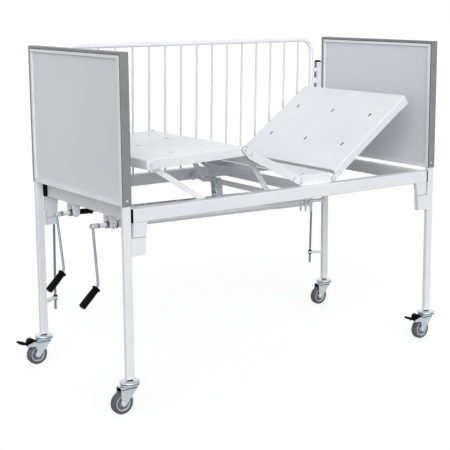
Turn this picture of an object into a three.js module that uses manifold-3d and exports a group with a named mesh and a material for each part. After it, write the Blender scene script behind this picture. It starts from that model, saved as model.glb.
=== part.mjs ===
import * as THREE from 'three';
import { mergeVertices } from 'three/addons/utils/BufferGeometryUtils.js';
import Module from 'manifold-3d';

const wasm = await Module();
wasm.setup();

// Overall cot, millimetres, foot at -X, head at +X, drop side at +Y
const LENGTH = 1500;
const WIDTH = 700;
const GAP = 0.3;

// Casters
const WHEEL_R = 41;
const TYRE_W = 28;
const TYRE_BORE_R = 29;
const HUB_W = 25;
const AXLE_R = 4;
const TRAIL = 34;
const FORK_PLATE = 2.5;
const FORK_SIDE_CLEAR = 2;
const RACE_R = 36;
const RACE_H = 19;
const STEM_R = 7;
const STEM_SHOW = 5;
const TYRE_TO_RACE = 15;
const CASTER_H = 2 * WHEEL_R + TYRE_TO_RACE + RACE_H + STEM_SHOW;

// Legs and end panels
const LEG_X = 30;
const LEG_Y = 20;
const LEG_WALL = 1.5;
const LEG_DROP = 619;
const PANEL_H = 528;
const TRIM_WALL = 1.5;
const TRIM_LIP = 14;
const TRIM_CORNER = 2;
const TOP_TUBE_H = 20;
const LOWER_RAIL_H = 17;
const BOARD_T = 20;
const PANEL_Z = CASTER_H + LEG_DROP;
const TOP_Z = PANEL_Z + PANEL_H;
const TRIM_OUT = TRIM_WALL + GAP;

// Bed frame
const RAIL_W = 40;
const RAIL_H = 48;
const RAIL_WALL = 2;
const RAIL_BELOW_PANEL = 12;
const CAP_T = 6;
const LEG_TO_CAP = 3;
const CAP_PLUG = 12;
const RAIL_START = LEG_X + LEG_TO_CAP + CAP_T;
const RAIL_TOP = PANEL_Z - RAIL_BELOW_PANEL;
const RAIL_Z = RAIL_TOP - RAIL_H;

// Corner wedges: a tongue under each rail end drops into a pocket on the leg
const TONGUE_L = 57;
const TONGUE_TAPER = 7;
const TONGUE_H = 53;
const TONGUE_T = 18;
const POCKET_H = 64;
const POCKET_TAPER = 5;
const BLADE_T = 8;
const BLADE_L = 42;
const BLADE_H = 44;
const BLADE_CLEAR = 1;
const WEDGE_INSET = 2;

// Platform trays
const SHEET = 2;
const FLANGE = 35;
const TRAY_INSET = 24;
const DECK_RISE = 40;
const DECK_Z = RAIL_TOP + DECK_RISE;
const SEAT_FROM_HEAD = 703;
const SEAT_L = 171;
const SEAT_BAR_IN = 6;
const SEAT_BAR_H = 38;
const BACK_L = 488;
const THIGH_L = 304;
const TRAY_TO_FOOT = 74;
const LEG_TRAY_L = LENGTH - SEAT_FROM_HEAD - THIGH_L - TRAY_TO_FOOT;
const LOW_PIVOT = 24;
const KNEE_PIVOT = 12;
const EDGE_CLEAR = 20;
const LUG_R = 11;
const LUG_L = 48;
const LUG_T = 2.5;
const NECK_CLEAR = 2.5;
const PIN_R = 4;
const PIN_CLEAR = 0.3;
const HEAD_R = 7;
const HEAD_T = 4;
const SLOT_L = 15;
const SLOT_W = 6;
const HEM_R = 6;

// Rest pose of the platform, degrees above flat
const BACK_TILT = 36;
const THIGH_TILT = 27;
const LEG_TILT = 2;

// Straps that carry the foot end of the leg tray
const STRAP_W = 20;
const STRAP_T = 5;
const STRAP_IN = 3;
const STRAP_PIN_X = 14;
const STRAP_PIN_Z = 18;
const STRAP_FOOT = 374;
const STRAP_FOOT_DROP = 16;
const STRAP_SLACK = 2.5;

// Lifting gear
const DRIVE_DROP = 37;
const DRIVE_Z = RAIL_Z - DRIVE_DROP;
const DRIVE_TILT = 1.15;
const KNEE_OFF = 134;
const BACK_OFF = 150;
const ROCK_BACK = 77;
const ROCK_DROP = 31;
const ROCK_R = 11;
const ROCK_PIN_R = 7;
const ARM_L = 182;
const ARM_W = 24;
const ARM_T = 8;
const ARM_IN = 126;
const ROLLER_R = 8;
const ROLLER_W = 16;
const ROLLER_GAP = 1.5;
const YOKE_T = 4;
const YOKE_W = 34;
const YOKE_SLOT = 16;
const YOKE_LEAN = 5;
const YOKE_BELOW = 40;
const FORK_ROOT = 50;
const FORK_FOOT_L = 75;
const FORK_THROAT = 20;
const FORK_NECK = 6;
const FORK_HEEL = 40;
const FORK_WEB = 4;
const FORK_WEB_END = 10;
const FORK_WEB_T = 5;
const NUT_Y = 26;
const NUT_X = 30;
const NUT_Z = 34;
const SCREW_R = 7;
const SCREW_CLEAR = 1;
const SHAFT_R = 15.5;
const SPINDLE_R = 8.5;
const SHAFT_STOP = 130;
const SCREW_PAST = 100;
const SLEEVE_L = 54;
const SLEEVE_R = 10.5;
const SLEEVE_FLANGE_R = 12.5;
const SLEEVE_FLANGE_T = 4;
const BEARING_L = 32;
const CHEEK_OUT = 24;
const CHEEK_T = 4;
const CHEEK_BELOW = 14;
const BUSH_R = 13;
const BUSH_CLEAR = 0.8;
const TRUNNION_R = 6;

// Hand cranks
const HINGE_OUT = 13;
const CLEVIS_R = 9;
const ROD_R = 5.5;
const CRANK_L = 215;
const KNEE_TURN = 15;
const BACK_TURN = 10;
const GRIP_ANGLE = 42;
const GRIP_L = 88;
const GRIP_R = 13.5;
const GRIP_FLANGE_R = 16.5;
const GRIP_START = 10;
const ARM_BEND = 8;
const HINGE_R = 3;

// Drop side, its guide rods and posts
const GUARD_FOOT = 140;
const GUARD_HEAD = 98;
const GUARD_R = 9.5;
const GUARD_BELOW_TOP = 10;
const GUARD_BELOW_RAIL = 28;
const GUARD_TOP = TOP_Z - GUARD_BELOW_TOP;
const GUARD_LOW = RAIL_TOP - GUARD_BELOW_RAIL;
const GUARD_BEND = 60;
const BAR_R = 4;
const BAR_GAPS = 16;
const ROD_FOOT = 89;
const ROD_HEAD = 72;
const GUIDE_R = 5;
const GUIDE_LEAN = 2;
const GUIDE_OUT = 11;
const GUIDE_BELOW_TOP = 114;
const GUIDE_TOP = TOP_Z - GUIDE_BELOW_TOP;
const GUIDE_FOOT = 81;
const GUIDE_LOW = CASTER_H + GUIDE_FOOT;
const GUIDE_EYE_UP = 48;
const GUIDE_EYE_Z = GUIDE_LOW + GUIDE_EYE_UP;
const EYE_LOW = GUARD_LOW + GUARD_BEND;
const EYE_BELOW_TOP = 188;
const EYE_HIGH = GUARD_TOP - EYE_BELOW_TOP;
const EYE_R = 9;
const EYE_H = 24;
const EYE_CLEAR = 0.6;
const POST_FOOT = 45;
const POST_HEAD = 45;
const POST_S = 24;
const POST_BELOW_TOP = 116;
const POST_EYE_DOWN = 34;
const POST_TOP = TOP_Z - POST_BELOW_TOP;
const POST_EYE_Z = POST_TOP - POST_EYE_DOWN;
const POST_WALL = 2;
const POST_CAP_H = 9;
const POST_PLUG = 14;

// Brake pedals
const PEDAL_T = 9;
const PEDAL_W = 36;
const PEDAL_L = 62;
const PEDAL_RISE = 4;
const PEDAL_DIP = 5;
const PEDAL_BOSS_R = 10;
const PEDAL_PIN_R = 3;
const PEDAL_TAIL = 12;
const PEDAL_OVER_TYRE = 11;
const EAR_R = 8;

// Colours
const paint = (color, roughness, metalness) =>
  new THREE.MeshStandardMaterial({ color, roughness, metalness });
const WHITE = 0xe6e7eb;
const BOARD = 0xc5c6ca;
const TRIM = 0x8f9092;
const ZINC = 0xb8c4cc;
const ROD = 0x7a858c;
const TYRE = 0x505055;
const HUB = 0x9a9da2;
const BLACK = 0x1c1c1e;

const rad = THREE.MathUtils.degToRad;
const footX = (d) => d - LENGTH / 2;
const headX = (d) => LENGTH / 2 - d;

// Solids
function toSolid(geometry) {
  const bare = geometry.clone();
  bare.deleteAttribute('normal');
  bare.deleteAttribute('uv');
  const merged = mergeVertices(bare);
  const mesh = new wasm.Mesh({
    numProp: 3,
    vertProperties: Float32Array.from(merged.attributes.position.array),
    triVerts: Uint32Array.from(merged.index.array),
  });
  return new wasm.Manifold(mesh);
}

function toGeometry(solid) {
  const mesh = solid.getMesh();
  const geometry = new THREE.BufferGeometry();
  geometry.setAttribute('position', new THREE.BufferAttribute(mesh.vertProperties, 3));
  geometry.setIndex(new THREE.BufferAttribute(mesh.triVerts, 1));
  geometry.computeVertexNormals();
  return geometry;
}

function join(geometries) {
  const solids = geometries.map(toSolid);
  return toGeometry(solids.reduce((sum, next) => sum.add(next)));
}

function cut(geometry, tools) {
  const solids = tools.map(toSolid);
  return toGeometry(solids.reduce((sum, next) => sum.subtract(next), toSolid(geometry)));
}

function block(x0, x1, y0, y1, z0, z1) {
  const geometry = new THREE.BoxGeometry(x1 - x0, y1 - y0, z1 - z0);
  return geometry.translate((x0 + x1) / 2, (y0 + y1) / 2, (z0 + z1) / 2);
}

function cylX(r, x0, x1, y, z, sides = 16) {
  const geometry = new THREE.CylinderGeometry(r, r, x1 - x0, sides);
  return geometry.rotateZ(Math.PI / 2).translate((x0 + x1) / 2, y, z);
}

function cylY(r, y0, y1, x, z, sides = 12) {
  const geometry = new THREE.CylinderGeometry(r, r, y1 - y0, sides);
  return geometry.translate(x, (y0 + y1) / 2, z);
}

function cylZ(r, z0, z1, x, y, sides = 12) {
  const geometry = new THREE.CylinderGeometry(r, r, z1 - z0, sides);
  return geometry.rotateX(Math.PI / 2).translate(x, y, (z0 + z1) / 2);
}

function rodBetween(from, to, r, sides = 12) {
  const span = new THREE.Vector3().subVectors(to, from);
  const geometry = new THREE.CylinderGeometry(r, r, span.length(), sides);
  const turn = new THREE.Quaternion().setFromUnitVectors(
    new THREE.Vector3(0, 1, 0),
    span.clone().normalize(),
  );
  const middle = new THREE.Vector3().addVectors(from, to).multiplyScalar(0.5);
  return geometry.applyQuaternion(turn).translate(middle.x, middle.y, middle.z);
}

// A round bar along a path that lies in one plane, open with flat ends or closed on itself
function sweep(points, r, sides, normal, closed) {
  const count = points.length;
  const rings = points.map((point, i) => {
    const before = points[(i + count - 1) % count];
    const after = points[(i + 1) % count];
    const into = new THREE.Vector3().subVectors(point, before).normalize();
    const out = new THREE.Vector3().subVectors(after, point).normalize();
    const forward = new THREE.Vector3();
    if (closed || i > 0) forward.add(into);
    if (closed || i < count - 1) forward.add(out);
    forward.normalize();
    const stretch = closed || (i > 0 && i < count - 1) ? 1 / forward.dot(into) : 1;
    const across = new THREE.Vector3().crossVectors(forward, normal);
    return Array.from({ length: sides }, (_, k) => {
      const a = (2 * Math.PI * k) / sides;
      return point.clone()
        .addScaledVector(normal, r * Math.cos(a))
        .addScaledVector(across, r * stretch * Math.sin(a));
    });
  });
  const index = [];
  const last = closed ? count : count - 1;
  for (let i = 0; i < last; i += 1) {
    const here = i * sides;
    const next = ((i + 1) % count) * sides;
    for (let k = 0; k < sides; k += 1) {
      const j = (k + 1) % sides;
      index.push(here + k, here + j, next + j, here + k, next + j, next + k);
    }
  }
  if (!closed) {
    const end = (count - 1) * sides;
    for (let k = 1; k < sides - 1; k += 1) {
      index.push(0, k + 1, k, end, end + k, end + k + 1);
    }
  }
  const geometry = new THREE.BufferGeometry();
  const flat = rings.flat().flatMap((v) => v.toArray());
  geometry.setAttribute('position', new THREE.Float32BufferAttribute(flat, 3));
  geometry.setIndex(index);
  geometry.computeVertexNormals();
  return geometry;
}

// A side outline in X and Z, given thickness from y0 to y1
function plateY(outline, y0, y1) {
  const shape = new THREE.Shape(outline.map(([x, z]) => new THREE.Vector2(x, z)));
  const geometry = new THREE.ExtrudeGeometry(shape, { depth: y1 - y0, bevelEnabled: false });
  return geometry.rotateX(Math.PI / 2).translate(0, y1, 0);
}

// A plan outline in X and Y, given thickness from z0 to z1
function plateZ(outline, z0, z1) {
  const shape = new THREE.Shape(outline.map(([x, y]) => new THREE.Vector2(x, y)));
  const geometry = new THREE.ExtrudeGeometry(shape, { depth: z1 - z0, bevelEnabled: false });
  return geometry.translate(0, 0, z0);
}

// An end outline in Y and Z, given thickness from x0 to x1
function plateX(outline, x0, x1) {
  const shape = new THREE.Shape(outline.map(([y, z]) => new THREE.Vector2(y, z)));
  const geometry = new THREE.ExtrudeGeometry(shape, { depth: x1 - x0, bevelEnabled: false });
  return geometry.rotateX(Math.PI / 2).rotateZ(Math.PI / 2).translate(x0, 0, 0);
}

function arc(cx, cz, r, fromDeg, toDeg, steps) {
  const points = [];
  for (let i = 0; i <= steps; i += 1) {
    const a = rad(fromDeg + ((toDeg - fromDeg) * i) / steps);
    points.push([cx + r * Math.cos(a), cz + r * Math.sin(a)]);
  }
  return points;
}

// A bar with one or two round ends, along the line from one point to another
function capsule(x0, z0, x1, z1, half, roundEnd = true) {
  const a = THREE.MathUtils.radToDeg(Math.atan2(z1 - z0, x1 - x0));
  const start = arc(x0, z0, half, a + 90, a + 270, 6);
  const end = roundEnd
    ? arc(x1, z1, half, a - 90, a + 90, 6)
    : arc(x1, z1, half, a - 90, a + 90, 1);
  return start.concat(end);
}

function roundRect(w, h, r) {
  return [
    ...arc(w / 2 - r, h / 2 - r, r, 0, 90, 3),
    ...arc(r - w / 2, h / 2 - r, r, 90, 180, 3),
    ...arc(r - w / 2, r - h / 2, r, 180, 270, 3),
    ...arc(w / 2 - r, r - h / 2, r, 270, 360, 3),
  ];
}

function ringShape(w, h, wall, r) {
  const points = (list) => list.map(([a, b]) => new THREE.Vector2(a, b));
  const shape = new THREE.Shape(points(roundRect(w, h, r)));
  shape.holes.push(new THREE.Path(points(roundRect(w - 2 * wall, h - 2 * wall, r / 2))));
  return shape;
}

// Square and oblong tubes; the given point is the tube's centre line
function tubeX(w, h, wall, x0, x1, y, z) {
  const options = { depth: x1 - x0, bevelEnabled: false };
  const geometry = new THREE.ExtrudeGeometry(ringShape(w, h, wall, 3), options);
  return geometry.rotateX(Math.PI / 2).rotateZ(Math.PI / 2).translate(x0, y, z);
}

function tubeY(w, h, wall, y0, y1, x, z) {
  const options = { depth: y1 - y0, bevelEnabled: false };
  const geometry = new THREE.ExtrudeGeometry(ringShape(w, h, wall, 3), options);
  return geometry.rotateX(Math.PI / 2).translate(x, y1, z);
}

function tubeZ(w, h, wall, z0, z1, x, y) {
  const options = { depth: z1 - z0, bevelEnabled: false };
  const geometry = new THREE.ExtrudeGeometry(ringShape(w, h, wall, 3), options);
  return geometry.translate(x, y, z0);
}

// A turned piece; the profile lists radius and height from the axis back to the axis
function turned(profile, sides) {
  return new THREE.LatheGeometry(profile.map(([r, z]) => new THREE.Vector2(r, z)), sides);
}

// The point reached by turning (x, z) about +Y by an angle in degrees
function turnY(x, z, deg) {
  const c = Math.cos(rad(deg));
  const s = Math.sin(rad(deg));
  return [x * c + z * s, z * c - x * s];
}

const cot = new THREE.Group();

function add(parent, name, geometry, color, roughness, metalness) {
  const mesh = new THREE.Mesh(geometry, paint(color, roughness, metalness));
  mesh.name = name;
  parent.add(mesh);
  return mesh;
}

const white = (parent, name, geometry) => add(parent, name, geometry, WHITE, 0.35, 0.1);
const zinc = (parent, name, geometry) => add(parent, name, geometry, ZINC, 0.35, 0.9);
const black = (parent, name, geometry) => add(parent, name, geometry, BLACK, 0.6, 0);

function body(parent, name, x, y, z, turnDeg = 0) {
  const group = new THREE.Group();
  group.name = name;
  group.position.set(x, y, z);
  group.rotation.y = rad(turnDeg);
  parent.add(group);
  return group;
}

const ENDS = [['foot', -1], ['head', 1]];
const SIDES = [['front', -1], ['rear', 1]];

// Where the sloping screw drives lie at a given place along the cot
const hingeX = footX(-HINGE_OUT);
const driveZ = (x) => DRIVE_Z - (x - hingeX) * Math.tan(rad(DRIVE_TILT));

// Where the guide rods stand at a given height
const guideY = (z) => WIDTH / 2 + GUIDE_OUT + (RAIL_TOP - z) * Math.tan(rad(GUIDE_LEAN));
const guideX = (end) => (end < 0 ? footX(ROD_FOOT) : headX(ROD_HEAD));

// Legs, each with its wedge pocket, caster stem and, at the rear, a guide rod eye
function legGeometry(end, side) {
  const x = end * (LENGTH - LEG_X) / 2;
  const y = side * (WIDTH - LEG_Y) / 2;
  const inner = x - end * LEG_X / 2;
  const socketTop = RAIL_Z - TONGUE_H;
  const socketY = side * (WIDTH / 2 - WEDGE_INSET);
  const socketIn = socketY - side * (TONGUE_T + 2);
  const reach = RAIL_START + TONGUE_L - TONGUE_TAPER - LEG_X;
  const pocket = plateY(
    [
      [inner + end, socketTop],
      [inner - end * reach, socketTop],
      [inner - end * (reach - POCKET_TAPER), socketTop - POCKET_H],
      [inner + end, socketTop - POCKET_H],
    ],
    Math.min(socketY, socketIn),
    Math.max(socketY, socketIn),
  );
  const bladeMid = (socketY + socketIn) / 2;
  const bladeX = inner - end * (reach / 2);
  const half = BLADE_L / 2 + BLADE_CLEAR;
  const hollow = block(
    bladeX - half, bladeX + half,
    bladeMid - BLADE_T / 2 - BLADE_CLEAR, bladeMid + BLADE_T / 2 + BLADE_CLEAR,
    socketTop - BLADE_H - BLADE_CLEAR, socketTop + 1,
  );
  const pieces = [
    tubeZ(LEG_X, LEG_Y, LEG_WALL, CASTER_H, TOP_Z - TRIM_OUT - GAP, x, y),
    block(
      x - LEG_X / 2 + 1, x + LEG_X / 2 - 1, y - LEG_Y / 2 + 1, y + LEG_Y / 2 - 1,
      CASTER_H, CASTER_H + 24,
    ),
    cylZ(STEM_R, CASTER_H - STEM_SHOW - RACE_H / 2, CASTER_H + 4, x, y),
    cut(pocket, [hollow]),
  ];
  if (side > 0) {
    const gx = guideX(end);
    const gy = guideY(GUIDE_EYE_Z);
    const plan = end < 0
      ? capsule(gx, gy, inner - 2, y, 11, false)
      : capsule(gx, gy, inner + 2, y, 11, false);
    pieces.push(plateZ(plan, GUIDE_EYE_Z - 4, GUIDE_EYE_Z + 4));
    const bore = rodBetween(
      new THREE.Vector3(gx, guideY(GUIDE_EYE_Z - 9), GUIDE_EYE_Z - 9),
      new THREE.Vector3(gx, guideY(GUIDE_EYE_Z + 9), GUIDE_EYE_Z + 9),
      GUIDE_R + GAP,
      16,
    );
    return cut(join(pieces), [bore]);
  }
  return join(pieces);
}

for (const [endName, end] of ENDS) {
  for (const [sideName, side] of SIDES) {
    white(cot, `leg_${endName}_${sideName}`, legGeometry(end, side));
  }
}

// End panels: white top tube and lower rail, grey board, grey channel round three edges
for (const [endName, end] of ENDS) {
  const x = end * (LENGTH - LEG_X) / 2;
  const halfY = WIDTH / 2 - LEG_Y - GAP;
  const topZ = TOP_Z - TRIM_OUT - GAP;
  const topTube = tubeY(LEG_X, TOP_TUBE_H, LEG_WALL, -halfY, halfY, x, topZ - TOP_TUBE_H / 2);
  white(cot, `${endName}_top_tube`, topTube);
  const lowZ = PANEL_Z + LOWER_RAIL_H / 2;
  white(cot, `${endName}_lower_rail`, tubeY(LEG_X, LOWER_RAIL_H, LEG_WALL, -halfY, halfY, x, lowZ));
  const boardLow = PANEL_Z + LOWER_RAIL_H + GAP;
  const boardTop = topZ - TOP_TUBE_H - GAP;
  const board = block(x - BOARD_T / 2, x + BOARD_T / 2, -halfY, halfY, boardLow, boardTop);
  add(cot, `${endName}_board`, board, BOARD, 0.5, 0);
  const out = WIDTH / 2 + TRIM_OUT;
  const outline = (band) => [
    [-out, PANEL_Z], [-out + band, PANEL_Z], [-out + band, TOP_Z - band],
    [out - band, TOP_Z - band], [out - band, PANEL_Z], [out, PANEL_Z],
    [out, TOP_Z - TRIM_CORNER], [out - TRIM_CORNER, TOP_Z],
    [-out + TRIM_CORNER, TOP_Z], [-out, TOP_Z - TRIM_CORNER],
  ];
  const face = LEG_X / 2 + GAP;
  const trim = join([
    plateX(outline(TRIM_LIP + TRIM_OUT), x - face - TRIM_WALL, x - face),
    plateX(outline(TRIM_LIP + TRIM_OUT), x + face, x + face + TRIM_WALL),
    plateX(outline(TRIM_WALL), x - face - TRIM_WALL, x + face + TRIM_WALL),
  ]);
  add(cot, `${endName}_trim`, trim, TRIM, 0.55, 0);
}

// Pivots of the platform in the rest pose
const seatX = headX(SEAT_FROM_HEAD);
const backX = seatX + SEAT_L;
const lowZ = DECK_Z - LOW_PIVOT;
const kneeFlat = [-Math.sqrt(THIGH_L ** 2 - (LOW_PIVOT - KNEE_PIVOT) ** 2), LOW_PIVOT - KNEE_PIVOT];
const kneeRest = turnY(kneeFlat[0], kneeFlat[1], THIGH_TILT);
const strapPin = [STRAP_PIN_X - LEG_TRAY_L, KNEE_PIVOT - STRAP_PIN_Z];
const strapFoot = [footX(STRAP_FOOT), RAIL_TOP - STRAP_FOOT_DROP];

// Where the strap's upper pin is when the thigh tray stands at an angle
function strapTop(thighDeg) {
  const knee = turnY(kneeFlat[0], kneeFlat[1], thighDeg);
  const pin = turnY(strapPin[0], strapPin[1], (-LEG_TILT * thighDeg) / THIGH_TILT);
  return [seatX + knee[0] + pin[0], lowZ + knee[1] + pin[1]];
}

const strapReach = (thighDeg) => {
  const [x, z] = strapTop(thighDeg);
  return Math.hypot(strapFoot[0] - x, strapFoot[1] - z);
};

const rockX = seatX - ROCK_BACK;
const rockZ = RAIL_TOP - ROCK_DROP;
const backY = -BACK_OFF;
const kneeY = KNEE_OFF;

// Side rails with the wedge tongues, strap studs and rock shaft pins
function railGeometry(side) {
  const y = side * (WIDTH - RAIL_W) / 2;
  const inner = side * (WIDTH / 2 - RAIL_W);
  const outer = side * (WIDTH / 2 - WEDGE_INSET);
  const tongueIn = outer - side * TONGUE_T;
  const yLow = Math.min(outer, tongueIn);
  const yHigh = Math.max(outer, tongueIn);
  const start = footX(RAIL_START);
  const pieces = [
    tubeX(RAIL_W, RAIL_H, RAIL_WALL, start, -start, y, RAIL_Z + RAIL_H / 2),
  ];
  for (const [, end] of ENDS) {
    const x0 = end * (LENGTH / 2 - RAIL_START - 1);
    const reach = TONGUE_L - 1;
    const top = RAIL_Z + 1;
    const low = RAIL_Z - TONGUE_H + GAP;
    pieces.push(plateY(
      [[x0, top], [x0 - end * reach, top], [x0 - end * (reach - TONGUE_TAPER), low], [x0, low]],
      yLow, yHigh,
    ));
    const socketReach = RAIL_START + TONGUE_L - TONGUE_TAPER - LEG_X;
    const bladeX = end * (LENGTH / 2 - LEG_X - socketReach / 2);
    const bladeMid = outer - side * (TONGUE_T + 2) / 2;
    pieces.push(block(
      bladeX - BLADE_L / 2, bladeX + BLADE_L / 2, bladeMid - BLADE_T / 2, bladeMid + BLADE_T / 2,
      RAIL_Z - TONGUE_H - BLADE_H, RAIL_Z - TONGUE_H + 5,
    ));
  }
  const stud = (r, depth, x, z) => {
    const far = inner - side * depth;
    const near = inner + side;
    return cylY(r, Math.min(far, near), Math.max(far, near), x, z);
  };
  pieces.push(stud(PIN_R, STRAP_IN + STRAP_T + 3, strapFoot[0], strapFoot[1]));
  pieces.push(stud(ROCK_R + 2, 11, rockX, rockZ));
  pieces.push(stud(ROCK_PIN_R, 34, rockX, rockZ));
  return join(pieces);
}

for (const [sideName, side] of SIDES) {
  white(cot, `rail_${sideName}`, railGeometry(side));
}

for (const [endName, end] of ENDS) {
  const x = end * (LENGTH / 2 - RAIL_START - RAIL_W / 2);
  const halfY = WIDTH / 2 - RAIL_W - GAP;
  white(cot, `end_rail_${endName}`, tubeY(
    RAIL_W, RAIL_H, RAIL_WALL, -halfY, halfY, x, RAIL_Z + RAIL_H / 2,
  ));
  for (const [sideName, side] of SIDES) {
    const y = side * (WIDTH - RAIL_W) / 2;
    const far = end * (LENGTH / 2 - RAIL_START + CAP_T);
    const near = end * (LENGTH / 2 - RAIL_START + GAP);
    const deep = end * (LENGTH / 2 - RAIL_START - CAP_PLUG);
    const half = RAIL_W / 2 - RAIL_WALL - 1;
    const tall = RAIL_H / 2 - RAIL_WALL - 1;
    const mid = RAIL_Z + RAIL_H / 2;
    const cover = plateX(
      roundRect(RAIL_W, RAIL_H, 3).map(([a, b]) => [a + y, b + mid]),
      Math.min(far, near), Math.max(far, near),
    );
    const plug = block(
      Math.min(deep, far - end), Math.max(deep, far - end),
      y - half, y + half, mid - tall, mid + tall,
    );
    black(cot, `cap_${endName}_${sideName}`, join([cover, plug]));
  }
}

// Bent sheet trays: a top sheet, a flange down each side and round-ended lugs outside them
const flangeY = WIDTH / 2 - TRAY_INSET;
const lugOut = flangeY + GAP + LUG_T;

function bothSides(outline, near, far) {
  return SIDES.map(([, side]) =>
    plateY(outline, Math.min(side * near, side * far), Math.max(side * near, side * far)));
}

function pinHoles(x, z) {
  return SIDES.map(([, side]) => {
    const near = side * (flangeY - SHEET - 6);
    const far = side * (lugOut + 3);
    return cylY(PIN_R + PIN_CLEAR, Math.min(near, far), Math.max(near, far), x, z);
  });
}

// Short pins with hex heads, fixed in the inner tray's flanges
function hingePins(x, z) {
  const far = lugOut + GAP;
  return SIDES.flatMap(([, side]) => {
    const span = (a, b) => [Math.min(side * a, side * b), Math.max(side * a, side * b)];
    return [
      cylY(PIN_R, ...span(flangeY - SHEET - 2, far + 1), x, z),
      cylY(HEAD_R, ...span(far, far + HEAD_T), x, z, 6),
    ];
  });
}

function neckCut(x, z) {
  const r = LUG_R + NECK_CLEAR;
  return SIDES.map(([, side]) => {
    const near = side * (flangeY - SHEET - 6);
    const far = side * (flangeY + GAP / 2);
    return cylY(r, Math.min(near, far), Math.max(near, far), x, z, 20);
  });
}

function lugs(x, z, toX, toZ) {
  const outline = capsule(x, z, toX, toZ, LUG_R, true);
  const root = capsule(toX, toZ, toX + (toX - x) * 0.1, toZ, LUG_R, true);
  return [
    ...bothSides(outline, flangeY + GAP, lugOut),
    ...bothSides(root, flangeY - SHEET / 2, lugOut),
  ];
}

function slots(list, top) {
  return list.map(([x, y]) => {
    const end = SLOT_L / 2 - SLOT_W / 2;
    const outline = capsule(x - end, 0, x + end, 0, SLOT_W / 2).map(([a, b]) => [a, b + y]);
    return plateZ(outline, top - SHEET - 1, top + 1);
  });
}

const sheetFrom = (x0, x1, top) => block(x0, x1, -flangeY, flangeY, top - SHEET, top);
const flangesFrom = (outline) => bothSides(outline, flangeY - SHEET, flangeY);

// Rows of vent slots across a tray
const across = [-235, 0, 235];

// Seat tray, bolted down on the side rails, with a cross bar at its foot edge
{
  const top = DECK_Z;
  const low = RAIL_TOP + GAP;
  const barX = seatX + SEAT_BAR_IN;
  const betweenRails = WIDTH / 2 - RAIL_W - GAP;
  const outline = [
    [seatX + 2, top],
    ...arc(seatX, lowZ, LUG_R, 90, 250, 8),
    [seatX + LUG_R, low],
    [backX - LUG_R, low],
    ...arc(backX, lowZ, LUG_R, -70, 90, 8),
    [backX - EDGE_CLEAR, lowZ + LUG_R],
    [backX - EDGE_CLEAR, top],
  ];
  const seat = cut(
    join([
      sheetFrom(seatX + 2, backX - EDGE_CLEAR, top),
      ...flangesFrom(outline),
      ...hingePins(seatX, lowZ),
      ...hingePins(backX, lowZ),
      block(barX, barX + SHEET, -flangeY + 1, flangeY - 1, low, lowZ),
      block(barX, barX + SHEET, -betweenRails, betweenRails, lowZ - SEAT_BAR_H, low + 1),
    ]),
    slots([[seatX + 40, -290], [seatX + 40, 0], [seatX + 40, 290]], top),
  );
  white(cot, 'seat_tray', seat);
}

// Backrest tray and the fork that its screw nut pushes
const backrest = body(cot, 'backrest', backX, 0, lowZ, -BACK_TILT);
{
  const top = LOW_PIVOT;
  const low = LOW_PIVOT - FLANGE;
  const outline = [[0, top], [BACK_L, top], [BACK_L, low], [0, low]];
  const tray = join([
    sheetFrom(EDGE_CLEAR, BACK_L, top),
    block(BACK_L - SHEET, BACK_L, -flangeY, flangeY, low, top),
    cylY(HEM_R, -flangeY, flangeY, EDGE_CLEAR + HEM_R, top - HEM_R, 16),
    ...flangesFrom(outline),
  ]);
  const trimmed = cut(tray, [
    ...neckCut(0, 0),
    block(-1, EDGE_CLEAR, -flangeY - 1, flangeY + 1, LUG_R / 2, top + 1),
  ]);
  const rows = [165, 350];
  const vents = rows.flatMap((x) => across.map((y) => [x, y]));
  const lugged = join([trimmed, ...lugs(0, 0, LUG_L, 0)]);
  white(backrest, 'back_tray', cut(lugged, [...pinHoles(0, 0), ...slots(vents, top)]));

  const reach = lowZ - driveZ(backX);
  const along = (r, offset) => turnY(offset, -r, BACK_TILT);
  const underside = top - SHEET - GAP;
  const end = reach + YOKE_BELOW;
  const half = YOKE_W / 2;
  const lever = [
    [FORK_ROOT, underside], [FORK_ROOT + FORK_FOOT_L, underside],
    [FORK_ROOT + FORK_THROAT, -FORK_NECK], along(FORK_ROOT, half), along(end, half),
    along(end, YOKE_SLOT / 2), along(reach - 10, YOKE_SLOT / 2),
    along(reach - 10, -YOKE_SLOT / 2), along(end, -YOKE_SLOT / 2), along(end, -half),
    along(FORK_ROOT, -half), [FORK_ROOT - FORK_HEEL, -NUT_Y / 2],
  ];
  const near = NUT_Y / 2 + 1;
  const fork = join([
    plateY(lever, backY + near, backY + near + YOKE_T),
    plateY(lever, backY - near - YOKE_T, backY - near),
    block(
      FORK_ROOT + FORK_WEB, FORK_ROOT + FORK_FOOT_L - FORK_WEB_END,
      backY - near - 1, backY + near + 1, underside - FORK_WEB_T, underside,
    ),
  ]);
  white(backrest, 'back_fork', fork);
}

// Thigh tray
const thigh = body(cot, 'thigh', seatX, 0, lowZ, THIGH_TILT);
{
  const top = LOW_PIVOT;
  const low = LOW_PIVOT - FLANGE;
  const outline = [[kneeFlat[0] + 6, top], [0, top], [0, low], [kneeFlat[0] + 34, low], [kneeFlat[0] + 6, 0]];
  const tray = join([
    sheetFrom(kneeFlat[0] + 2, -EDGE_CLEAR, top),
    ...flangesFrom(outline),
  ]);
  const trimmed = cut(tray, [
    ...neckCut(0, 0),
    ...neckCut(kneeFlat[0], kneeFlat[1]),
    block(-EDGE_CLEAR, 1, -flangeY - 1, flangeY + 1, LUG_R / 2, top + 1),
  ]);
  const lugged = join([
    trimmed,
    ...lugs(0, 0, -LUG_L, 0),
    ...lugs(kneeFlat[0], kneeFlat[1], kneeFlat[0] + LUG_L, kneeFlat[1]),
  ]);
  white(thigh, 'thigh_tray', cut(lugged, [
    ...pinHoles(0, 0),
    ...pinHoles(kneeFlat[0], kneeFlat[1]),
    ...slots(across.map((y) => [kneeFlat[0] / 2, y]), top),
  ]));
}

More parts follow.
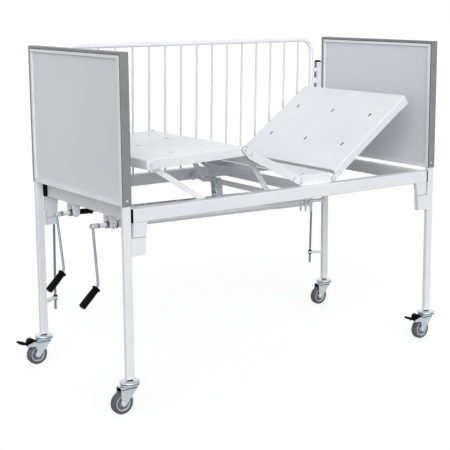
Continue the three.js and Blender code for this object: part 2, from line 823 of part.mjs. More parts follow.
// Leg tray, hung on its knee pins
const shin = body(thigh, 'shin', kneeFlat[0], 0, kneeFlat[1], -THIGH_TILT - LEG_TILT);
{
  const top = KNEE_PIVOT;
  const low = KNEE_PIVOT - FLANGE;
  const outline = [
    [-LEG_TRAY_L, top], [-LEG_TRAY_L, low], [-30, low],
    ...arc(0, 0, LUG_R, -70, 90, 8), [-2, top],
  ];
  const studs = SIDES.flatMap(([, side]) => {
    const inner = side * (WIDTH / 2 - RAIL_W - STRAP_IN - STRAP_T - 2);
    const skin = side * (flangeY - 1);
    const head = side * (flangeY + HEAD_T);
    return [
      cylY(PIN_R, Math.min(inner, skin), Math.max(inner, skin), strapPin[0], strapPin[1]),
      cylY(HEAD_R, Math.min(skin, head), Math.max(skin, head), strapPin[0], strapPin[1], 6),
    ];
  });
  const tray = join([
    sheetFrom(-LEG_TRAY_L, -2, top),
    block(-LEG_TRAY_L, -LEG_TRAY_L + SHEET, -flangeY, flangeY, low, top),
    ...flangesFrom(outline),
    ...studs,
    ...hingePins(0, 0),
  ]);
  const vents = [[-85, -170], [-85, 75], ...across.map((y) => [-262, y])];
  white(shin, 'leg_tray', cut(tray, slots(vents, top)));
}

// Straps, hung on the leg tray's studs and slotted over the rail studs
const [strapX, strapZ] = strapTop(THIGH_TILT);
const strapTilt = THREE.MathUtils.radToDeg(
  Math.atan2(strapZ - strapFoot[1], strapFoot[0] - strapX),
);
{
  const reaches = [0, 0.25, 0.5, 0.75, 1].map((t) => strapReach(t * THIGH_TILT));
  const near = Math.min(...reaches) - STRAP_SLACK;
  const far = Math.max(...reaches) + STRAP_SLACK;
  for (const [sideName, side] of SIDES) {
    const strap = body(shin, `strap_${sideName}`, strapPin[0], 0, strapPin[1], strapTilt + LEG_TILT);
    const y0 = side * (WIDTH / 2 - RAIL_W - STRAP_IN);
    const y1 = y0 - side * STRAP_T;
    const yLow = Math.min(y0, y1);
    const yHigh = Math.max(y0, y1);
    const bar = plateY(capsule(0, 0, far + STRAP_W / 2, 0, STRAP_W / 2), yLow, yHigh);
    const slot = capsule(near, 0, far, 0, PIN_R + 1.5);
    white(strap, `strap_bar_${sideName}`, cut(bar, [
      cylY(PIN_R + PIN_CLEAR, yLow - 1, yHigh + 1, 0, 0),
      plateY(slot, yLow - 1, yHigh + 1),
    ]));
  }
}

// Rock shaft that lifts the thigh tray, with two roller arms and a fork for its nut
const rock = body(cot, 'rock', rockX, 0, rockZ);
{
  const shaftHalf = WIDTH / 2 - RAIL_W - 12;
  const reach = rockZ - driveZ(rockX);
  const forkEnd = reach + YOKE_BELOW;
  const half = YOKE_W / 2;
  const spin = (r, offset) => turnY(offset, -r, -YOKE_LEAN);
  const fork = [
    ...arc(0, 0, half, 180 + YOKE_LEAN, YOKE_LEAN, 10),
    spin(forkEnd, half), spin(forkEnd, YOKE_SLOT / 2), spin(reach - 12, YOKE_SLOT / 2),
    spin(reach - 12, -YOKE_SLOT / 2), spin(forkEnd, -YOKE_SLOT / 2), spin(forkEnd, -half),
  ];
  const near = NUT_Y / 2 + 1;
  const seatDeep = LOW_PIVOT - SHEET - ROLLER_R - ROLLER_GAP;
  const base = turnY(rockX - seatX, rockZ - lowZ, -THIGH_TILT);
  const lift = Math.asin((seatDeep - base[1]) / ARM_L);
  const tip = turnY(-ARM_L * Math.cos(lift), ARM_L * Math.sin(lift), THIGH_TILT);
  const pieces = [
    cylY(ROCK_R, -shaftHalf, shaftHalf, 0, 0, 16),
    plateY(fork, kneeY + near, kneeY + near + YOKE_T),
    plateY(fork, kneeY - near - YOKE_T, kneeY - near),
  ];
  for (const [, side] of SIDES) {
    const y = side * (WIDTH / 2 - ARM_IN);
    pieces.push(plateY(
      capsule(0, 0, tip[0], tip[1], ARM_W / 2 - 5), y - ARM_T / 2, y + ARM_T / 2,
    ));
    pieces.push(cylY(ROLLER_R, y - ROLLER_W / 2, y + ROLLER_W / 2, tip[0], tip[1], 12));
    pieces.push(cylY(ROCK_R + 4, y - ARM_T / 2 - 4, y + ARM_T / 2 + 4, 0, 0, 16));
  }
  const bores = SIDES.map(([, side]) => {
    const far = side * (shaftHalf + 1);
    const deep = side * (shaftHalf - 26);
    return cylY(ROCK_PIN_R + PIN_CLEAR, Math.min(far, deep), Math.max(far, deep), 0, 0);
  });
  white(rock, 'rock_shaft', cut(join(pieces), bores));
}

// Screw nuts that ride along the screws between the fork plates
function nutGeometry() {
  return cut(
    join([
      block(-NUT_X / 2, NUT_X / 2, -NUT_Y / 2, NUT_Y / 2, -NUT_Z / 2, NUT_Z / 2),
      cylY(PIN_R, -NUT_Y / 2 - YOKE_T - 4, NUT_Y / 2 + YOKE_T + 4, 0, 0),
    ]),
    [cylX(SCREW_R + SCREW_CLEAR, -NUT_X, NUT_X, 0, 0)],
  );
}

const kneeNutX = rockX + Math.tan(rad(YOKE_LEAN)) * (rockZ - driveZ(rockX));
for (const [name, x, y] of [['knee', kneeNutX, kneeY], ['back', backX, backY]]) {
  zinc(body(cot, `${name}_nut`, x, y, driveZ(x), DRIVE_TILT), `${name}_nut`, nutGeometry());
}

// Crank drives: bearing under the foot rail, screw shaft, folding arm and turning grip
const bearingMid = footX(RAIL_START + RAIL_W / 2);

function bearingGeometry(y) {
  const x0 = bearingMid - BEARING_L / 2;
  const x1 = bearingMid + BEARING_L / 2;
  const top = RAIL_Z - GAP;
  const z = driveZ(bearingMid);
  const cheek = [[x0, top], ...arc(bearingMid, z, CHEEK_BELOW, 180, 360, 10), [x1, top]];
  const solid = join([
    block(x0, x1, y - CHEEK_OUT, y + CHEEK_OUT, top - CHEEK_T, top),
    plateY(cheek, y - CHEEK_OUT, y - CHEEK_OUT + CHEEK_T),
    plateY(cheek, y + CHEEK_OUT - CHEEK_T, y + CHEEK_OUT),
    cylY(TRUNNION_R, y - CHEEK_OUT + 1, y + CHEEK_OUT - 1, bearingMid, z),
    cylX(BUSH_R, x0, x1, y, z),
  ]);
  return cut(solid, [cylX(SPINDLE_R + BUSH_CLEAR, x0 - 1, x1 + 1, y, z)]);
}

const shaftStart = footX(RAIL_START + RAIL_W + 4) - hingeX;

function screwGeometry(tubeR, stop, nutFar) {
  const end = nutFar + SCREW_PAST - hingeX;
  const profile = [
    [0, 12], [SPINDLE_R, 12], [SPINDLE_R, shaftStart], [tubeR, shaftStart + GAP],
    [tubeR, stop], [SCREW_R, stop + 6], [SCREW_R, end - 3], [SCREW_R - 3, end], [0, end],
  ];
  const spun = turned(profile, 14).rotateZ(-Math.PI / 2);
  const cheek = (y0, y1) => plateY(capsule(0, 0, 20, 0, CLEVIS_R, false), y0, y1);
  const eye = ROD_R + 1;
  return join([
    spun, cheek(eye, eye + 4), cheek(-eye - 4, -eye),
    block(13, 20, -eye - 4, eye + 4, -CLEVIS_R, CLEVIS_R),
    cylY(HINGE_R, -eye - 6, eye + 6, 0, 0),
  ]);
}

// The arm leaves its hinge across the shaft; the grip's pin leaves the arm at an angle
const armEnd = [0, -CRANK_L];
const gripDir = [-Math.cos(rad(GRIP_ANGLE)), -Math.sin(rad(GRIP_ANGLE))];

function armGeometry() {
  const pinEnd = GRIP_START + GRIP_L - 8;
  const along = (d) => [armEnd[0] + gripDir[0] * d, armEnd[1] + gripDir[1] * d];
  const before = [0, ARM_BEND - CRANK_L];
  const curve = new THREE.QuadraticBezierCurve3(
    new THREE.Vector3(before[0], 0, before[1]),
    new THREE.Vector3(armEnd[0], 0, armEnd[1]),
    new THREE.Vector3(along(ARM_BEND)[0], 0, along(ARM_BEND)[1]),
  );
  const far = along(pinEnd);
  const path = [new THREE.Vector3(), ...curve.getPoints(4), new THREE.Vector3(far[0], 0, far[1])];
  const solid = join([
    sweep(path, ROD_R, 14, new THREE.Vector3(0, 1, 0), false),
    cylY(CLEVIS_R - 1, -ROD_R, ROD_R, 0, 0, 16),
  ]);
  return cut(solid, [cylY(HINGE_R + PIN_CLEAR, -20, 20, 0, 0)]);
}

function gripGeometry() {
  const bore = ROD_R + PIN_CLEAR;
  const profile = [
    [bore, 0], [GRIP_FLANGE_R, 0], [GRIP_FLANGE_R, 5], [GRIP_R - 1, 9], [GRIP_R, 30],
    [GRIP_R, GRIP_L - 10], [GRIP_R - 4, GRIP_L], [0, GRIP_L], [0, GRIP_L - 6], [bore, GRIP_L - 6],
    [bore, 0],
  ];
  const tilt = Math.atan2(-gripDir[0], -gripDir[1]);
  return turned(profile, 18).rotateX(-Math.PI / 2).rotateY(tilt);
}

function sleeveGeometry() {
  const bore = SPINDLE_R + GAP;
  const end = shaftStart + SLEEVE_L;
  const profile = [
    [bore, shaftStart], [SLEEVE_R, shaftStart], [SLEEVE_R, end - SLEEVE_FLANGE_T],
    [SLEEVE_FLANGE_R, end - SLEEVE_FLANGE_T], [SLEEVE_FLANGE_R, end], [bore, end],
    [bore, shaftStart],
  ];
  return turned(profile, 20).rotateZ(-Math.PI / 2);
}

const DRIVES = [
  ['knee', kneeY, KNEE_TURN, SPINDLE_R, shaftStart + SLEEVE_L, rockX + 2 * YOKE_W],
  ['back', backY, BACK_TURN, SHAFT_R, backX - SHAFT_STOP - hingeX, backX],
];

for (const [name, y, turn, tubeR, stop, nutFar] of DRIVES) {
  white(cot, `${name}_bearing`, bearingGeometry(y));
  const screw = body(cot, `${name}_screw`, hingeX, y, DRIVE_Z, DRIVE_TILT);
  screw.rotation.order = 'YXZ';
  screw.rotation.x = rad(-turn);
  white(screw, `${name}_shaft`, screwGeometry(tubeR, stop, nutFar));
  if (name === 'knee') black(screw, 'knee_sleeve', sleeveGeometry());
  const arm = body(screw, `${name}_arm`, 0, 0, 0);
  zinc(arm, `${name}_crank`, armGeometry());
  const grip = body(
    arm, `${name}_grip`,
    armEnd[0] + gripDir[0] * GRIP_START, 0, armEnd[1] + gripDir[1] * GRIP_START,
  );
  black(grip, `${name}_grip`, gripGeometry());
}

// Guide rods, leaning out towards the floor
const guideAt = (end, z) => new THREE.Vector3(guideX(end), guideY(z), z);
for (const [endName, end] of ENDS) {
  const rod = rodBetween(guideAt(end, GUIDE_LOW), guideAt(end, GUIDE_TOP), GUIDE_R, 16);
  add(cot, `guide_rod_${endName}`, rod, ROD, 0.3, 0.9);
}

// Posts on the rear rail's outer face that hold the rods' upper ends
for (const [endName, end] of ENDS) {
  const x = end < 0 ? footX(POST_FOOT) : headX(POST_HEAD);
  const y = WIDTH / 2 + GAP + POST_S / 2;
  const tube = tubeZ(POST_S, POST_S, POST_WALL, RAIL_Z, POST_TOP, x, y);
  const eye = plateZ(
    capsule(guideX(end), guideY(POST_EYE_Z), x, y, EYE_R, false),
    POST_EYE_Z - 4, POST_EYE_Z + 4,
  );
  const bore = rodBetween(
    guideAt(end, POST_EYE_Z - 9), guideAt(end, POST_EYE_Z + 9), GUIDE_R + GAP, 16,
  );
  const inside = block(
    x - POST_S / 2 + POST_WALL, x + POST_S / 2 - POST_WALL,
    y - POST_S / 2 + POST_WALL, y + POST_S / 2 - POST_WALL, RAIL_Z - 1, POST_TOP + 1,
  );
  white(cot, `guide_post_${endName}`, cut(join([tube, eye]), [bore, inside]));
  const plugS = POST_S - 2 * POST_WALL - 1;
  const cover = roundRect(POST_S, POST_S, 3).map(([a, b]) => [a + x, b + y]);
  const dome = roundRect(POST_S - 6, POST_S - 6, 3).map(([a, b]) => [a + x, b + y]);
  black(cot, `post_cap_${endName}`, join([
    plateZ(cover, POST_TOP + GAP, POST_TOP + POST_CAP_H - 3),
    plateZ(dome, POST_TOP + GAP, POST_TOP + POST_CAP_H),
    block(
      x - plugS / 2, x + plugS / 2, y - plugS / 2, y + plugS / 2,
      POST_TOP - POST_PLUG, POST_TOP + 1,
    ),
  ]));
}

// Drop side: bent tube, upright bars, and eyes that slide on the rods
const guard = body(cot, 'guard', 0, 0, 0);
{
  const x0 = footX(GUARD_FOOT);
  const x1 = headX(GUARD_HEAD);
  const lean = (x, z) => new THREE.Vector3(x, guideY(z), z);
  const round = (cx, cz, from) =>
    arc(cx, cz, GUARD_BEND, from, from - 90, 6).map(([x, z]) => lean(x, z));
  const loop = [
    ...round(x0 + GUARD_BEND, GUARD_TOP - GUARD_BEND, 180),
    ...round(x1 - GUARD_BEND, GUARD_TOP - GUARD_BEND, 90),
    ...round(x1 - GUARD_BEND, GUARD_LOW + GUARD_BEND, 0),
    ...round(x0 + GUARD_BEND, GUARD_LOW + GUARD_BEND, -90),
  ];
  const normal = new THREE.Vector3(0, Math.cos(rad(GUIDE_LEAN)), Math.sin(rad(GUIDE_LEAN)));
  const pieces = [sweep(loop, GUARD_R, 12, normal, true)];
  const pitch = (x1 - x0) / BAR_GAPS;
  for (let i = 1; i < BAR_GAPS; i += 1) {
    const x = x0 + pitch * i;
    pieces.push(rodBetween(lean(x, GUARD_LOW), lean(x, GUARD_TOP), BAR_R, 8));
  }
  const bores = [];
  for (const [, end] of ENDS) {
    const tubeAt = end < 0 ? x0 : x1;
    const lowX = Math.min(guideX(end), tubeAt);
    const highX = Math.max(guideX(end), tubeAt);
    for (const z of [EYE_LOW, EYE_HIGH]) {
      const y = guideY(z);
      const web = EYE_H / 2 - 3;
      pieces.push(rodBetween(guideAt(end, z - EYE_H / 2), guideAt(end, z + EYE_H / 2), EYE_R, 14));
      pieces.push(block(lowX, highX, y - 3, y + 3, z - web, z + web));
      bores.push(rodBetween(
        guideAt(end, z - EYE_H), guideAt(end, z + EYE_H), GUIDE_R + EYE_CLEAR, 14,
      ));
    }
  }
  white(guard, 'guard', cut(join(pieces), bores));
}

// Casters: swivel fork with its axle, wheel hub, tyre, and pedals on two of them
function forkGeometry(braked) {
  const raceLow = CASTER_H - STEM_SHOW - RACE_H;
  const raceTop = CASTER_H - STEM_SHOW;
  const race = turned([
    [0, raceLow], [RACE_R - 4, raceLow], [RACE_R, raceLow + 5], [RACE_R, raceTop - 5],
    [RACE_R - 5, raceTop], [0, raceTop],
  ], 24).rotateX(Math.PI / 2);
  const near = TYRE_W / 2 + FORK_SIDE_CLEAR;
  const outline = [
    ...arc(-TRAIL, WHEEL_R, 11, 215, 340, 8),
    [20, raceLow + 2], [-24, raceLow + 2], [-34, WHEEL_R + 36],
  ];
  const stem = cylZ(STEM_R + PIN_CLEAR, raceTop - RACE_H / 2 - 1, raceTop + 1, 0, 0);
  const pedalX = -TRAIL - PEDAL_TAIL;
  const pedalZ = 2 * WHEEL_R + PEDAL_OVER_TYRE;
  const ear = capsule(pedalX, pedalZ, -TRAIL + 8, pedalZ, EAR_R, false);
  const tail = braked
    ? [
      plateY(ear, near, near + FORK_PLATE),
      plateY(ear, -near - FORK_PLATE, -near),
      cylY(PEDAL_PIN_R, -near - FORK_PLATE - 2, near + FORK_PLATE + 2, pedalX, pedalZ),
    ]
    : [];
  const solid = join([
    race,
    ...tail,
    plateY(outline, near, near + FORK_PLATE),
    plateY(outline, -near - FORK_PLATE, -near),
    cylY(AXLE_R, -near - 1, near + 1, -TRAIL, WHEEL_R),
    cylY(AXLE_R + 3, near + 1, near + FORK_PLATE + 4, -TRAIL, WHEEL_R, 6),
    cylY(AXLE_R + 3, -near - FORK_PLATE - 4, -near - 1, -TRAIL, WHEEL_R, 6),
  ]);
  return cut(solid, [stem]);
}

function tyreGeometry() {
  const w = TYRE_W / 2;
  return turned([
    [TYRE_BORE_R, -w + 2], [WHEEL_R - 6, -w], [WHEEL_R, -w + 7],
    [WHEEL_R, w - 7], [WHEEL_R - 6, w], [TYRE_BORE_R, w - 2],
    [TYRE_BORE_R, -w + 2],
  ], 32);
}

function hubGeometry() {
  const w = HUB_W / 2;
  const out = TYRE_BORE_R - GAP;
  const bore = AXLE_R + PIN_CLEAR;
  return turned([
    [bore, -w - 1], [9, -w - 1], [10, -w + 4], [out - 5, -w + 4], [out - 4, -w], [out, -w],
    [out, w], [out - 4, w], [out - 5, w - 4], [10, w - 4], [9, w + 1], [bore, w + 1],
    [bore, -w - 1],
  ], 16);
}

// A pedal turns on a pin between the fork's tail ears; its straight lever rises outward
function pedalGeometry() {
  const rootHalf = TYRE_W / 2 + FORK_SIDE_CLEAR - 1;
  const start = EAR_R + 1 + PEDAL_T / 2;
  const lift = (d) => d * (PEDAL_RISE + PEDAL_DIP) / PEDAL_L - PEDAL_DIP;
  const solid = join([
    cylY(PEDAL_BOSS_R, -rootHalf, rootHalf, 0, 0, 20),
    plateY(capsule(0, lift(0), -start - 4, lift(start + 4), PEDAL_T / 2), -rootHalf, rootHalf),
    plateY(capsule(-start, lift(start), -PEDAL_L, PEDAL_RISE, PEDAL_T / 2), -PEDAL_W / 2, PEDAL_W / 2),
  ]);
  return cut(solid, [cylY(PEDAL_PIN_R + PIN_CLEAR, -PEDAL_W, PEDAL_W, 0, 0)]);
}

const BRAKED = [[-1, 1], [1, -1]];
for (const [endName, end] of ENDS) {
  for (const [sideName, side] of SIDES) {
    const at = `${endName}_${sideName}`;
    const x = end * (LENGTH - LEG_X) / 2;
    const y = side * (WIDTH - LEG_Y) / 2;
    const caster = body(cot, `caster_${at}`, x, y, 0);
    const braked = BRAKED.some(([e, s]) => e === end && s === side);
    zinc(caster, `fork_${at}`, forkGeometry(braked));
    const wheel = body(caster, `wheel_${at}`, -TRAIL, 0, WHEEL_R);
    add(wheel, `hub_${at}`, hubGeometry(), HUB, 0.5, 0);
    add(wheel, `tyre_${at}`, tyreGeometry(), TYRE, 0.8, 0);
    if (braked) {
      const pedalZ = 2 * WHEEL_R + PEDAL_OVER_TYRE;
      const pedal = body(caster, `pedal_${at}`, -TRAIL - PEDAL_TAIL, 0, pedalZ);
      black(pedal, `pedal_${at}`, pedalGeometry());
    }
  }
}

// Origin under the middle of the whole cot, on the floor
cot.updateMatrixWorld(true);
const bounds = new THREE.Box3().setFromObject(cot, true);
const middle = bounds.getCenter(new THREE.Vector3());
cot.position.set(-middle.x, -middle.y, -bounds.min.z);
cot.updateMatrixWorld(true);

export default cot;
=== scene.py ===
import math

import bmesh
import bpy
from mathutils import Matrix, Vector
from mathutils.geometry import tessellate_polygon


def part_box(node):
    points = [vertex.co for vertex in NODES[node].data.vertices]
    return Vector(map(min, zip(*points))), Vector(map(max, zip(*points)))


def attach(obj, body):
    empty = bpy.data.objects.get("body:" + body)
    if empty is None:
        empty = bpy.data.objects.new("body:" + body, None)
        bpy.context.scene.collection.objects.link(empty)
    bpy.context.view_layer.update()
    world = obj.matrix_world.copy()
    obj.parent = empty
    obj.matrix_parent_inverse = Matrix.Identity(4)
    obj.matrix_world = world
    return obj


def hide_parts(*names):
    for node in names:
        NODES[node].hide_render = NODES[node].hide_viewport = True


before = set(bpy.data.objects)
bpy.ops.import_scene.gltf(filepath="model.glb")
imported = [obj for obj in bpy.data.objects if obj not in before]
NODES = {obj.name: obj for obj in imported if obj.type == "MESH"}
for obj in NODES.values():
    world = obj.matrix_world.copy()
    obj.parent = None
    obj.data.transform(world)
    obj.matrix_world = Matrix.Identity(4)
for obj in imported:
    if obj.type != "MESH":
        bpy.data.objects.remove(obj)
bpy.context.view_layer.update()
MM = 0.001

# The cot's own millimetres: foot at -X, head at +X, drop side at +Y, origin on the floor under
# the middle of the four legs
LENGTH = 1500
WIDTH = 700
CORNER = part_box("leg_foot_front")[0]
ORIGIN = Vector((CORNER.x + LENGTH / 2 * MM, CORNER.y + WIDTH / 2 * MM, 0))
SIDES = (-1, 1)


def at(x, y, z):
    """A point of the cot in the frame's metres."""
    return ORIGIN + Vector((x, y, z)) * MM


# Camera, matched to the photograph
CAMERA_LENS = 88.2
CAMERA_SENSOR = 36
CAMERA_REACH = 200
CAMERA_PLACE = (-2597.65, -3592.0, 1443.0)
CAMERA_AZIMUTH = -36.58
CAMERA_ELEVATION = 9.995
CAMERA_ROLL = -0.17
CAMERA_SHIFT = (-0.0653, -0.0716)


def make_camera():
    data = bpy.data.cameras.new("camera")
    data.lens = CAMERA_LENS
    data.sensor_width = CAMERA_SENSOR
    data.shift_x, data.shift_y = CAMERA_SHIFT
    data.clip_end = CAMERA_REACH
    camera = bpy.data.objects.new("camera", data)
    a = math.radians(CAMERA_AZIMUTH)
    e = math.radians(CAMERA_ELEVATION)
    back = Vector((math.sin(a) * math.cos(e), -math.cos(a) * math.cos(e), math.sin(e)))
    turn = (-back).to_track_quat("-Z", "Y").to_matrix().to_4x4()
    roll = Matrix.Rotation(math.radians(CAMERA_ROLL), 4, "Z")
    camera.matrix_world = Matrix.Translation(at(*CAMERA_PLACE)) @ turn @ roll
    bpy.context.scene.collection.objects.link(camera)
    bpy.context.scene.camera = camera


# Shader nodes
def add_node(tree, kind, inputs, **settings):
    """A node with its settings, and a constant or a link at each of the given inputs."""
    node = tree.nodes.new(kind)
    for key, value in settings.items():
        setattr(node, key, value)
    for key, value in inputs.items():
        if isinstance(value, bpy.types.NodeSocket):
            tree.links.new(value, node.inputs[key])
        else:
            node.inputs[key].default_value = value
    return node


def spread(tree, value, source, target):
    """Maps one range of values to another."""
    node = add_node(tree, "ShaderNodeMapRange", {
        "Value": value,
        "From Min": source[0],
        "From Max": source[1],
        "To Min": target[0],
        "To Max": target[1],
    })
    return node.outputs["Result"]


def seen_directly(tree):
    """One for a camera, mirrored or transmitted ray, zero for the light that a surface throws."""
    path = tree.nodes.new("ShaderNodeLightPath")
    seen = path.outputs["Is Camera Ray"]
    for kind in ("Is Glossy Ray", "Is Transmission Ray"):
        either = add_node(tree, "ShaderNodeMath", {0: seen, 1: path.outputs[kind]}, operation="MAXIMUM")
        seen = either.outputs[0]
    return seen


# Light: soft suns, each a direction to the light, the share of white that it gives a surface that
# faces it and its spread in degrees
SUNS = [
    ("key", (-0.42, -0.87, 0.20), 0.88, 80),
    ("fill_left", (-0.82, -0.55, 0.12), 0.30, 110),
    ("fill_back", (0.6, 0.6, 0.5), 0.22, 90),
]
FULL_WHITE = (1, 1, 1, 1)
SKY_TINT = (0.97, 0.985, 1, 1)
SKY_LIGHT = (0.36, 0.38)
SKY_CLIMB = (0.0, 0.8)
FLOOR_HALF = 40.0
FLOOR_Z = -0.0004
FLOOR_TONE = 0.30
FLOOR_LIFT = 0.78


def make_world():
    world = bpy.data.worlds.new("studio")
    bpy.context.scene.world = world
    world.use_nodes = True
    tree = world.node_tree
    tree.nodes.clear()
    shown = add_node(tree, "ShaderNodeBackground", {"Color": FULL_WHITE, "Strength": 1})
    coords = tree.nodes.new("ShaderNodeTexCoord")
    split = add_node(tree, "ShaderNodeSeparateXYZ", {0: coords.outputs["Generated"]})
    strength = spread(tree, split.outputs["Z"], SKY_CLIMB, SKY_LIGHT)
    thrown = add_node(tree, "ShaderNodeBackground", {"Color": SKY_TINT, "Strength": strength})
    mix = add_node(tree, "ShaderNodeMixShader", {
        0: seen_directly(tree),
        1: thrown.outputs[0],
        2: shown.outputs[0],
    })
    add_node(tree, "ShaderNodeOutputWorld", {0: mix.outputs[0]})


def make_suns():
    for name, direction, share, spread_angle in SUNS:
        data = bpy.data.lights.new(name, "SUN")
        data.angle = math.radians(spread_angle)
        data.energy = share * math.pi
        lamp = bpy.data.objects.new(name, data)
        lamp.rotation_mode = "QUATERNION"
        lamp.rotation_quaternion = (-Vector(direction)).to_track_quat("-Z", "Y")
        bpy.context.scene.collection.objects.link(lamp)


def make_floor():
    mesh = bpy.data.meshes.new("floor")
    h = FLOOR_HALF
    z = FLOOR_Z
    mesh.from_pydata([(-h, -h, z), (h, -h, z), (h, h, z), (-h, h, z)], [], [(0, 1, 2, 3)])
    floor = bpy.data.objects.new("floor", mesh)
    bpy.context.scene.collection.objects.link(floor)
    material = bpy.data.materials.new("floor")
    material.use_nodes = True
    tree = material.node_tree
    tree.nodes.clear()
    diffuse = add_node(tree, "ShaderNodeBsdfDiffuse", {"Color": (FLOOR_TONE, FLOOR_TONE, FLOOR_TONE, 1)})
    lift = add_node(tree, "ShaderNodeMath", {0: seen_directly(tree), 1: FLOOR_LIFT}, operation="MULTIPLY")
    glow = add_node(tree, "ShaderNodeEmission", {"Color": FULL_WHITE, "Strength": lift.outputs[0]})
    both = add_node(tree, "ShaderNodeAddShader", {0: diffuse.outputs[0], 1: glow.outputs[0]})
    add_node(tree, "ShaderNodeOutputMaterial", {0: both.outputs[0]})
    mesh.materials.append(material)


# Materials
CLOUDS = (0.3, 0.7)
CLOUD_DETAIL = 3.0
GRAIN_DETAIL = 2.0
RELIEF_DEPTH = 0.0002


def linear(code):
    """A hex colour as Blender's linear red, green, blue and alpha."""
    values = [int(code[i:i + 2], 16) / 255 for i in (1, 3, 5)]
    return [v / 12.92 if v <= 0.04045 else ((v + 0.055) / 1.055) ** 2.4 for v in values] + [1]


def noise(tree, coords, scale, detail):
    """Noise over the object's own metres, at a number of cells per metre."""
    node = add_node(tree, "ShaderNodeTexNoise", {"Vector": coords, "Scale": scale, "Detail": detail})
    return node.outputs["Fac"]


def blend_colour(tree, value, first, second):
    node = add_node(tree, "ShaderNodeMix", {"A": first, "B": second, "Factor": value}, data_type="RGBA")
    return node.outputs["Result"]


def surface(name, light, dark, rough, bump, metal=0.0, patch=5.0, grain=900.0, specular=0.5):
    """A material with cloudy colour, uneven gloss and a fine relief."""
    material = bpy.data.materials.new(name)
    material.use_nodes = True
    tree = material.node_tree
    shader = tree.nodes["Principled BSDF"]
    coords = tree.nodes.new("ShaderNodeTexCoord").outputs["Object"]
    clouds = noise(tree, coords, patch, CLOUD_DETAIL)
    fine = noise(tree, coords, grain, GRAIN_DETAIL)
    colour = blend_colour(tree, spread(tree, clouds, CLOUDS, (0, 1)), linear(light), linear(dark))
    gloss = spread(tree, clouds, CLOUDS, rough)
    relief = add_node(tree, "ShaderNodeBump", {"Strength": bump, "Distance": RELIEF_DEPTH, "Height": fine})
    tree.links.new(colour, shader.inputs["Base Color"])
    tree.links.new(gloss, shader.inputs["Roughness"])
    tree.links.new(relief.outputs[0], shader.inputs["Normal"])
    shader.inputs["Metallic"].default_value = metal
    shader.inputs["Specular IOR Level"].default_value = specular
    return material


WHITE = surface("white_powder_coat", "#eeeff3", "#e8e9ee", (0.34, 0.42), 0.25, specular=0.3)
BOARD = surface("grey_board", "#dfe0e5", "#dbdce1", (0.42, 0.52), 0.2, patch=3.0, grain=500)
TRIM = surface("grey_channel", "#888a8c", "#7f8183", (0.40, 0.5), 0.25, patch=14.0, grain=1200)
ZINC = surface("zinc_plate", "#c8d0d6", "#bac3ca", (0.22, 0.30), 0.12, 0.55, patch=14, grain=700)
STEEL = surface("plated_steel", "#7f878e", "#747c83", (0.24, 0.32), 0.1, 0.75, patch=12, grain=700)
ROD = surface("plated_rod", "#76838b", "#6b7880", (0.22, 0.3), 0.1, 0.75, patch=12, grain=600)
# White paint darkened as painted shade, for the drop side's thin bars and the end rails, which lie in shade
SHADED_WHITE = surface("white_with_painted_shade", "#d9dade", "#d3d4d8", (0.30, 0.38), 0.25, specular=0.4)
# A dark grey of painted shade, for painted shadow in slots, gaps and along edges
PAINTED_SHADE = surface("painted_shade_grey", "#474b50", "#3f4347", (0.5, 0.6), 0.2, patch=40)
PALE = surface("bolt_steel", "#d6d9dd", "#c8ccd1", (0.28, 0.4), 0.12, 0.6, patch=80)
TYRE = surface("grey_rubber", "#54555b", "#4b4c51", (0.55, 0.7), 0.35, patch=40)
RIM = surface("hub_rim", "#bcc3cb", "#adb5be", (0.35, 0.45), 0.15, patch=30, grain=800)
HUB = surface("hub_plastic", "#69707a", "#5e656f", (0.45, 0.55), 0.2, patch=30, grain=800)
BLACK = surface("black_plastic", "#060607", "#040405", (0.28, 0.36), 0.3, patch=25, specular=0.05)

# Words in the names of the solids that stay in view; all the others are white
NODE_MATERIALS = [
    ("board", BOARD),
    ("_trim", TRIM),
    ("guide_rod", ROD),
    # The end rails take the white darkened as painted shade
    ("end_rail", SHADED_WHITE),
    ("cap_", BLACK),
    ("_nut", ZINC),
]

# Edge rounding, and the clean-up of the solids before it
EDGE_WIDTH = 0.7 * MM
EDGE_ANGLE = math.radians(34)
EDGE_SEGMENTS = 2
WELD_REACH = 1e-5
FLAT_ANGLE = math.radians(0.6)


def round_edges(obj, width, angle):
    edge = obj.modifiers.new("edge", "BEVEL")
    edge.width = width
    edge.segments = EDGE_SEGMENTS
    edge.limit_method = "ANGLE"
    edge.angle_limit = angle
    edge.harden_normals = True
    return edge


def even_normals(obj, keep_sharp):
    even = obj.modifiers.new("even", "WEIGHTED_NORMAL")
    even.keep_sharp = keep_sharp


def finish_node(name, obj):
    found = [material for word, material in NODE_MATERIALS if word in name]
    obj.data.materials.clear()
    obj.data.materials.append(found[0] if found else WHITE)
    for polygon in obj.data.polygons:
        polygon.use_smooth = True
    weld = obj.modifiers.new("weld", "WELD")
    weld.merge_threshold = WELD_REACH
    flat = obj.modifiers.new("flat", "DECIMATE")
    flat.decimate_type = "DISSOLVE"
    flat.angle_limit = FLAT_ANGLE
    round_edges(obj, EDGE_WIDTH, EDGE_ANGLE)
    even_normals(obj, False)


# Shapes, each a list of points in millimetres and a list of faces
ON_SIDE = Matrix(((1, 0, 0, 0), (0, 0, 1, 0), (0, 1, 0, 0), (0, 0, 0, 1)))
ON_END = Matrix(((0, 0, 1, 0), (1, 0, 0, 0), (0, 1, 0, 0), (0, 0, 0, 1)))
UP = Vector((0, 0, 1))
SHARP = math.radians(38)
SAME_POINT = 1e-6


def move(x, y, z):
    return Matrix.Translation((x, y, z))


def spin(degrees, axis):
    return Matrix.Rotation(math.radians(degrees), 4, axis)


def facing(direction):
    """Turns +Z to a direction."""
    return UP.rotation_difference(Vector(direction)).to_matrix().to_4x4()


def polar(cx, cy, r, first, last, steps):
    angles = [math.radians(first + (last - first) * i / steps) for i in range(steps + 1)]
    return [(cx + r * math.cos(a), cy + r * math.sin(a)) for a in angles]


def disc(cx, cy, r):
    return polar(cx, cy, r, 0, 345, 23)


def hexagon(r):
    return polar(0, 0, r, 0, 300, 5)


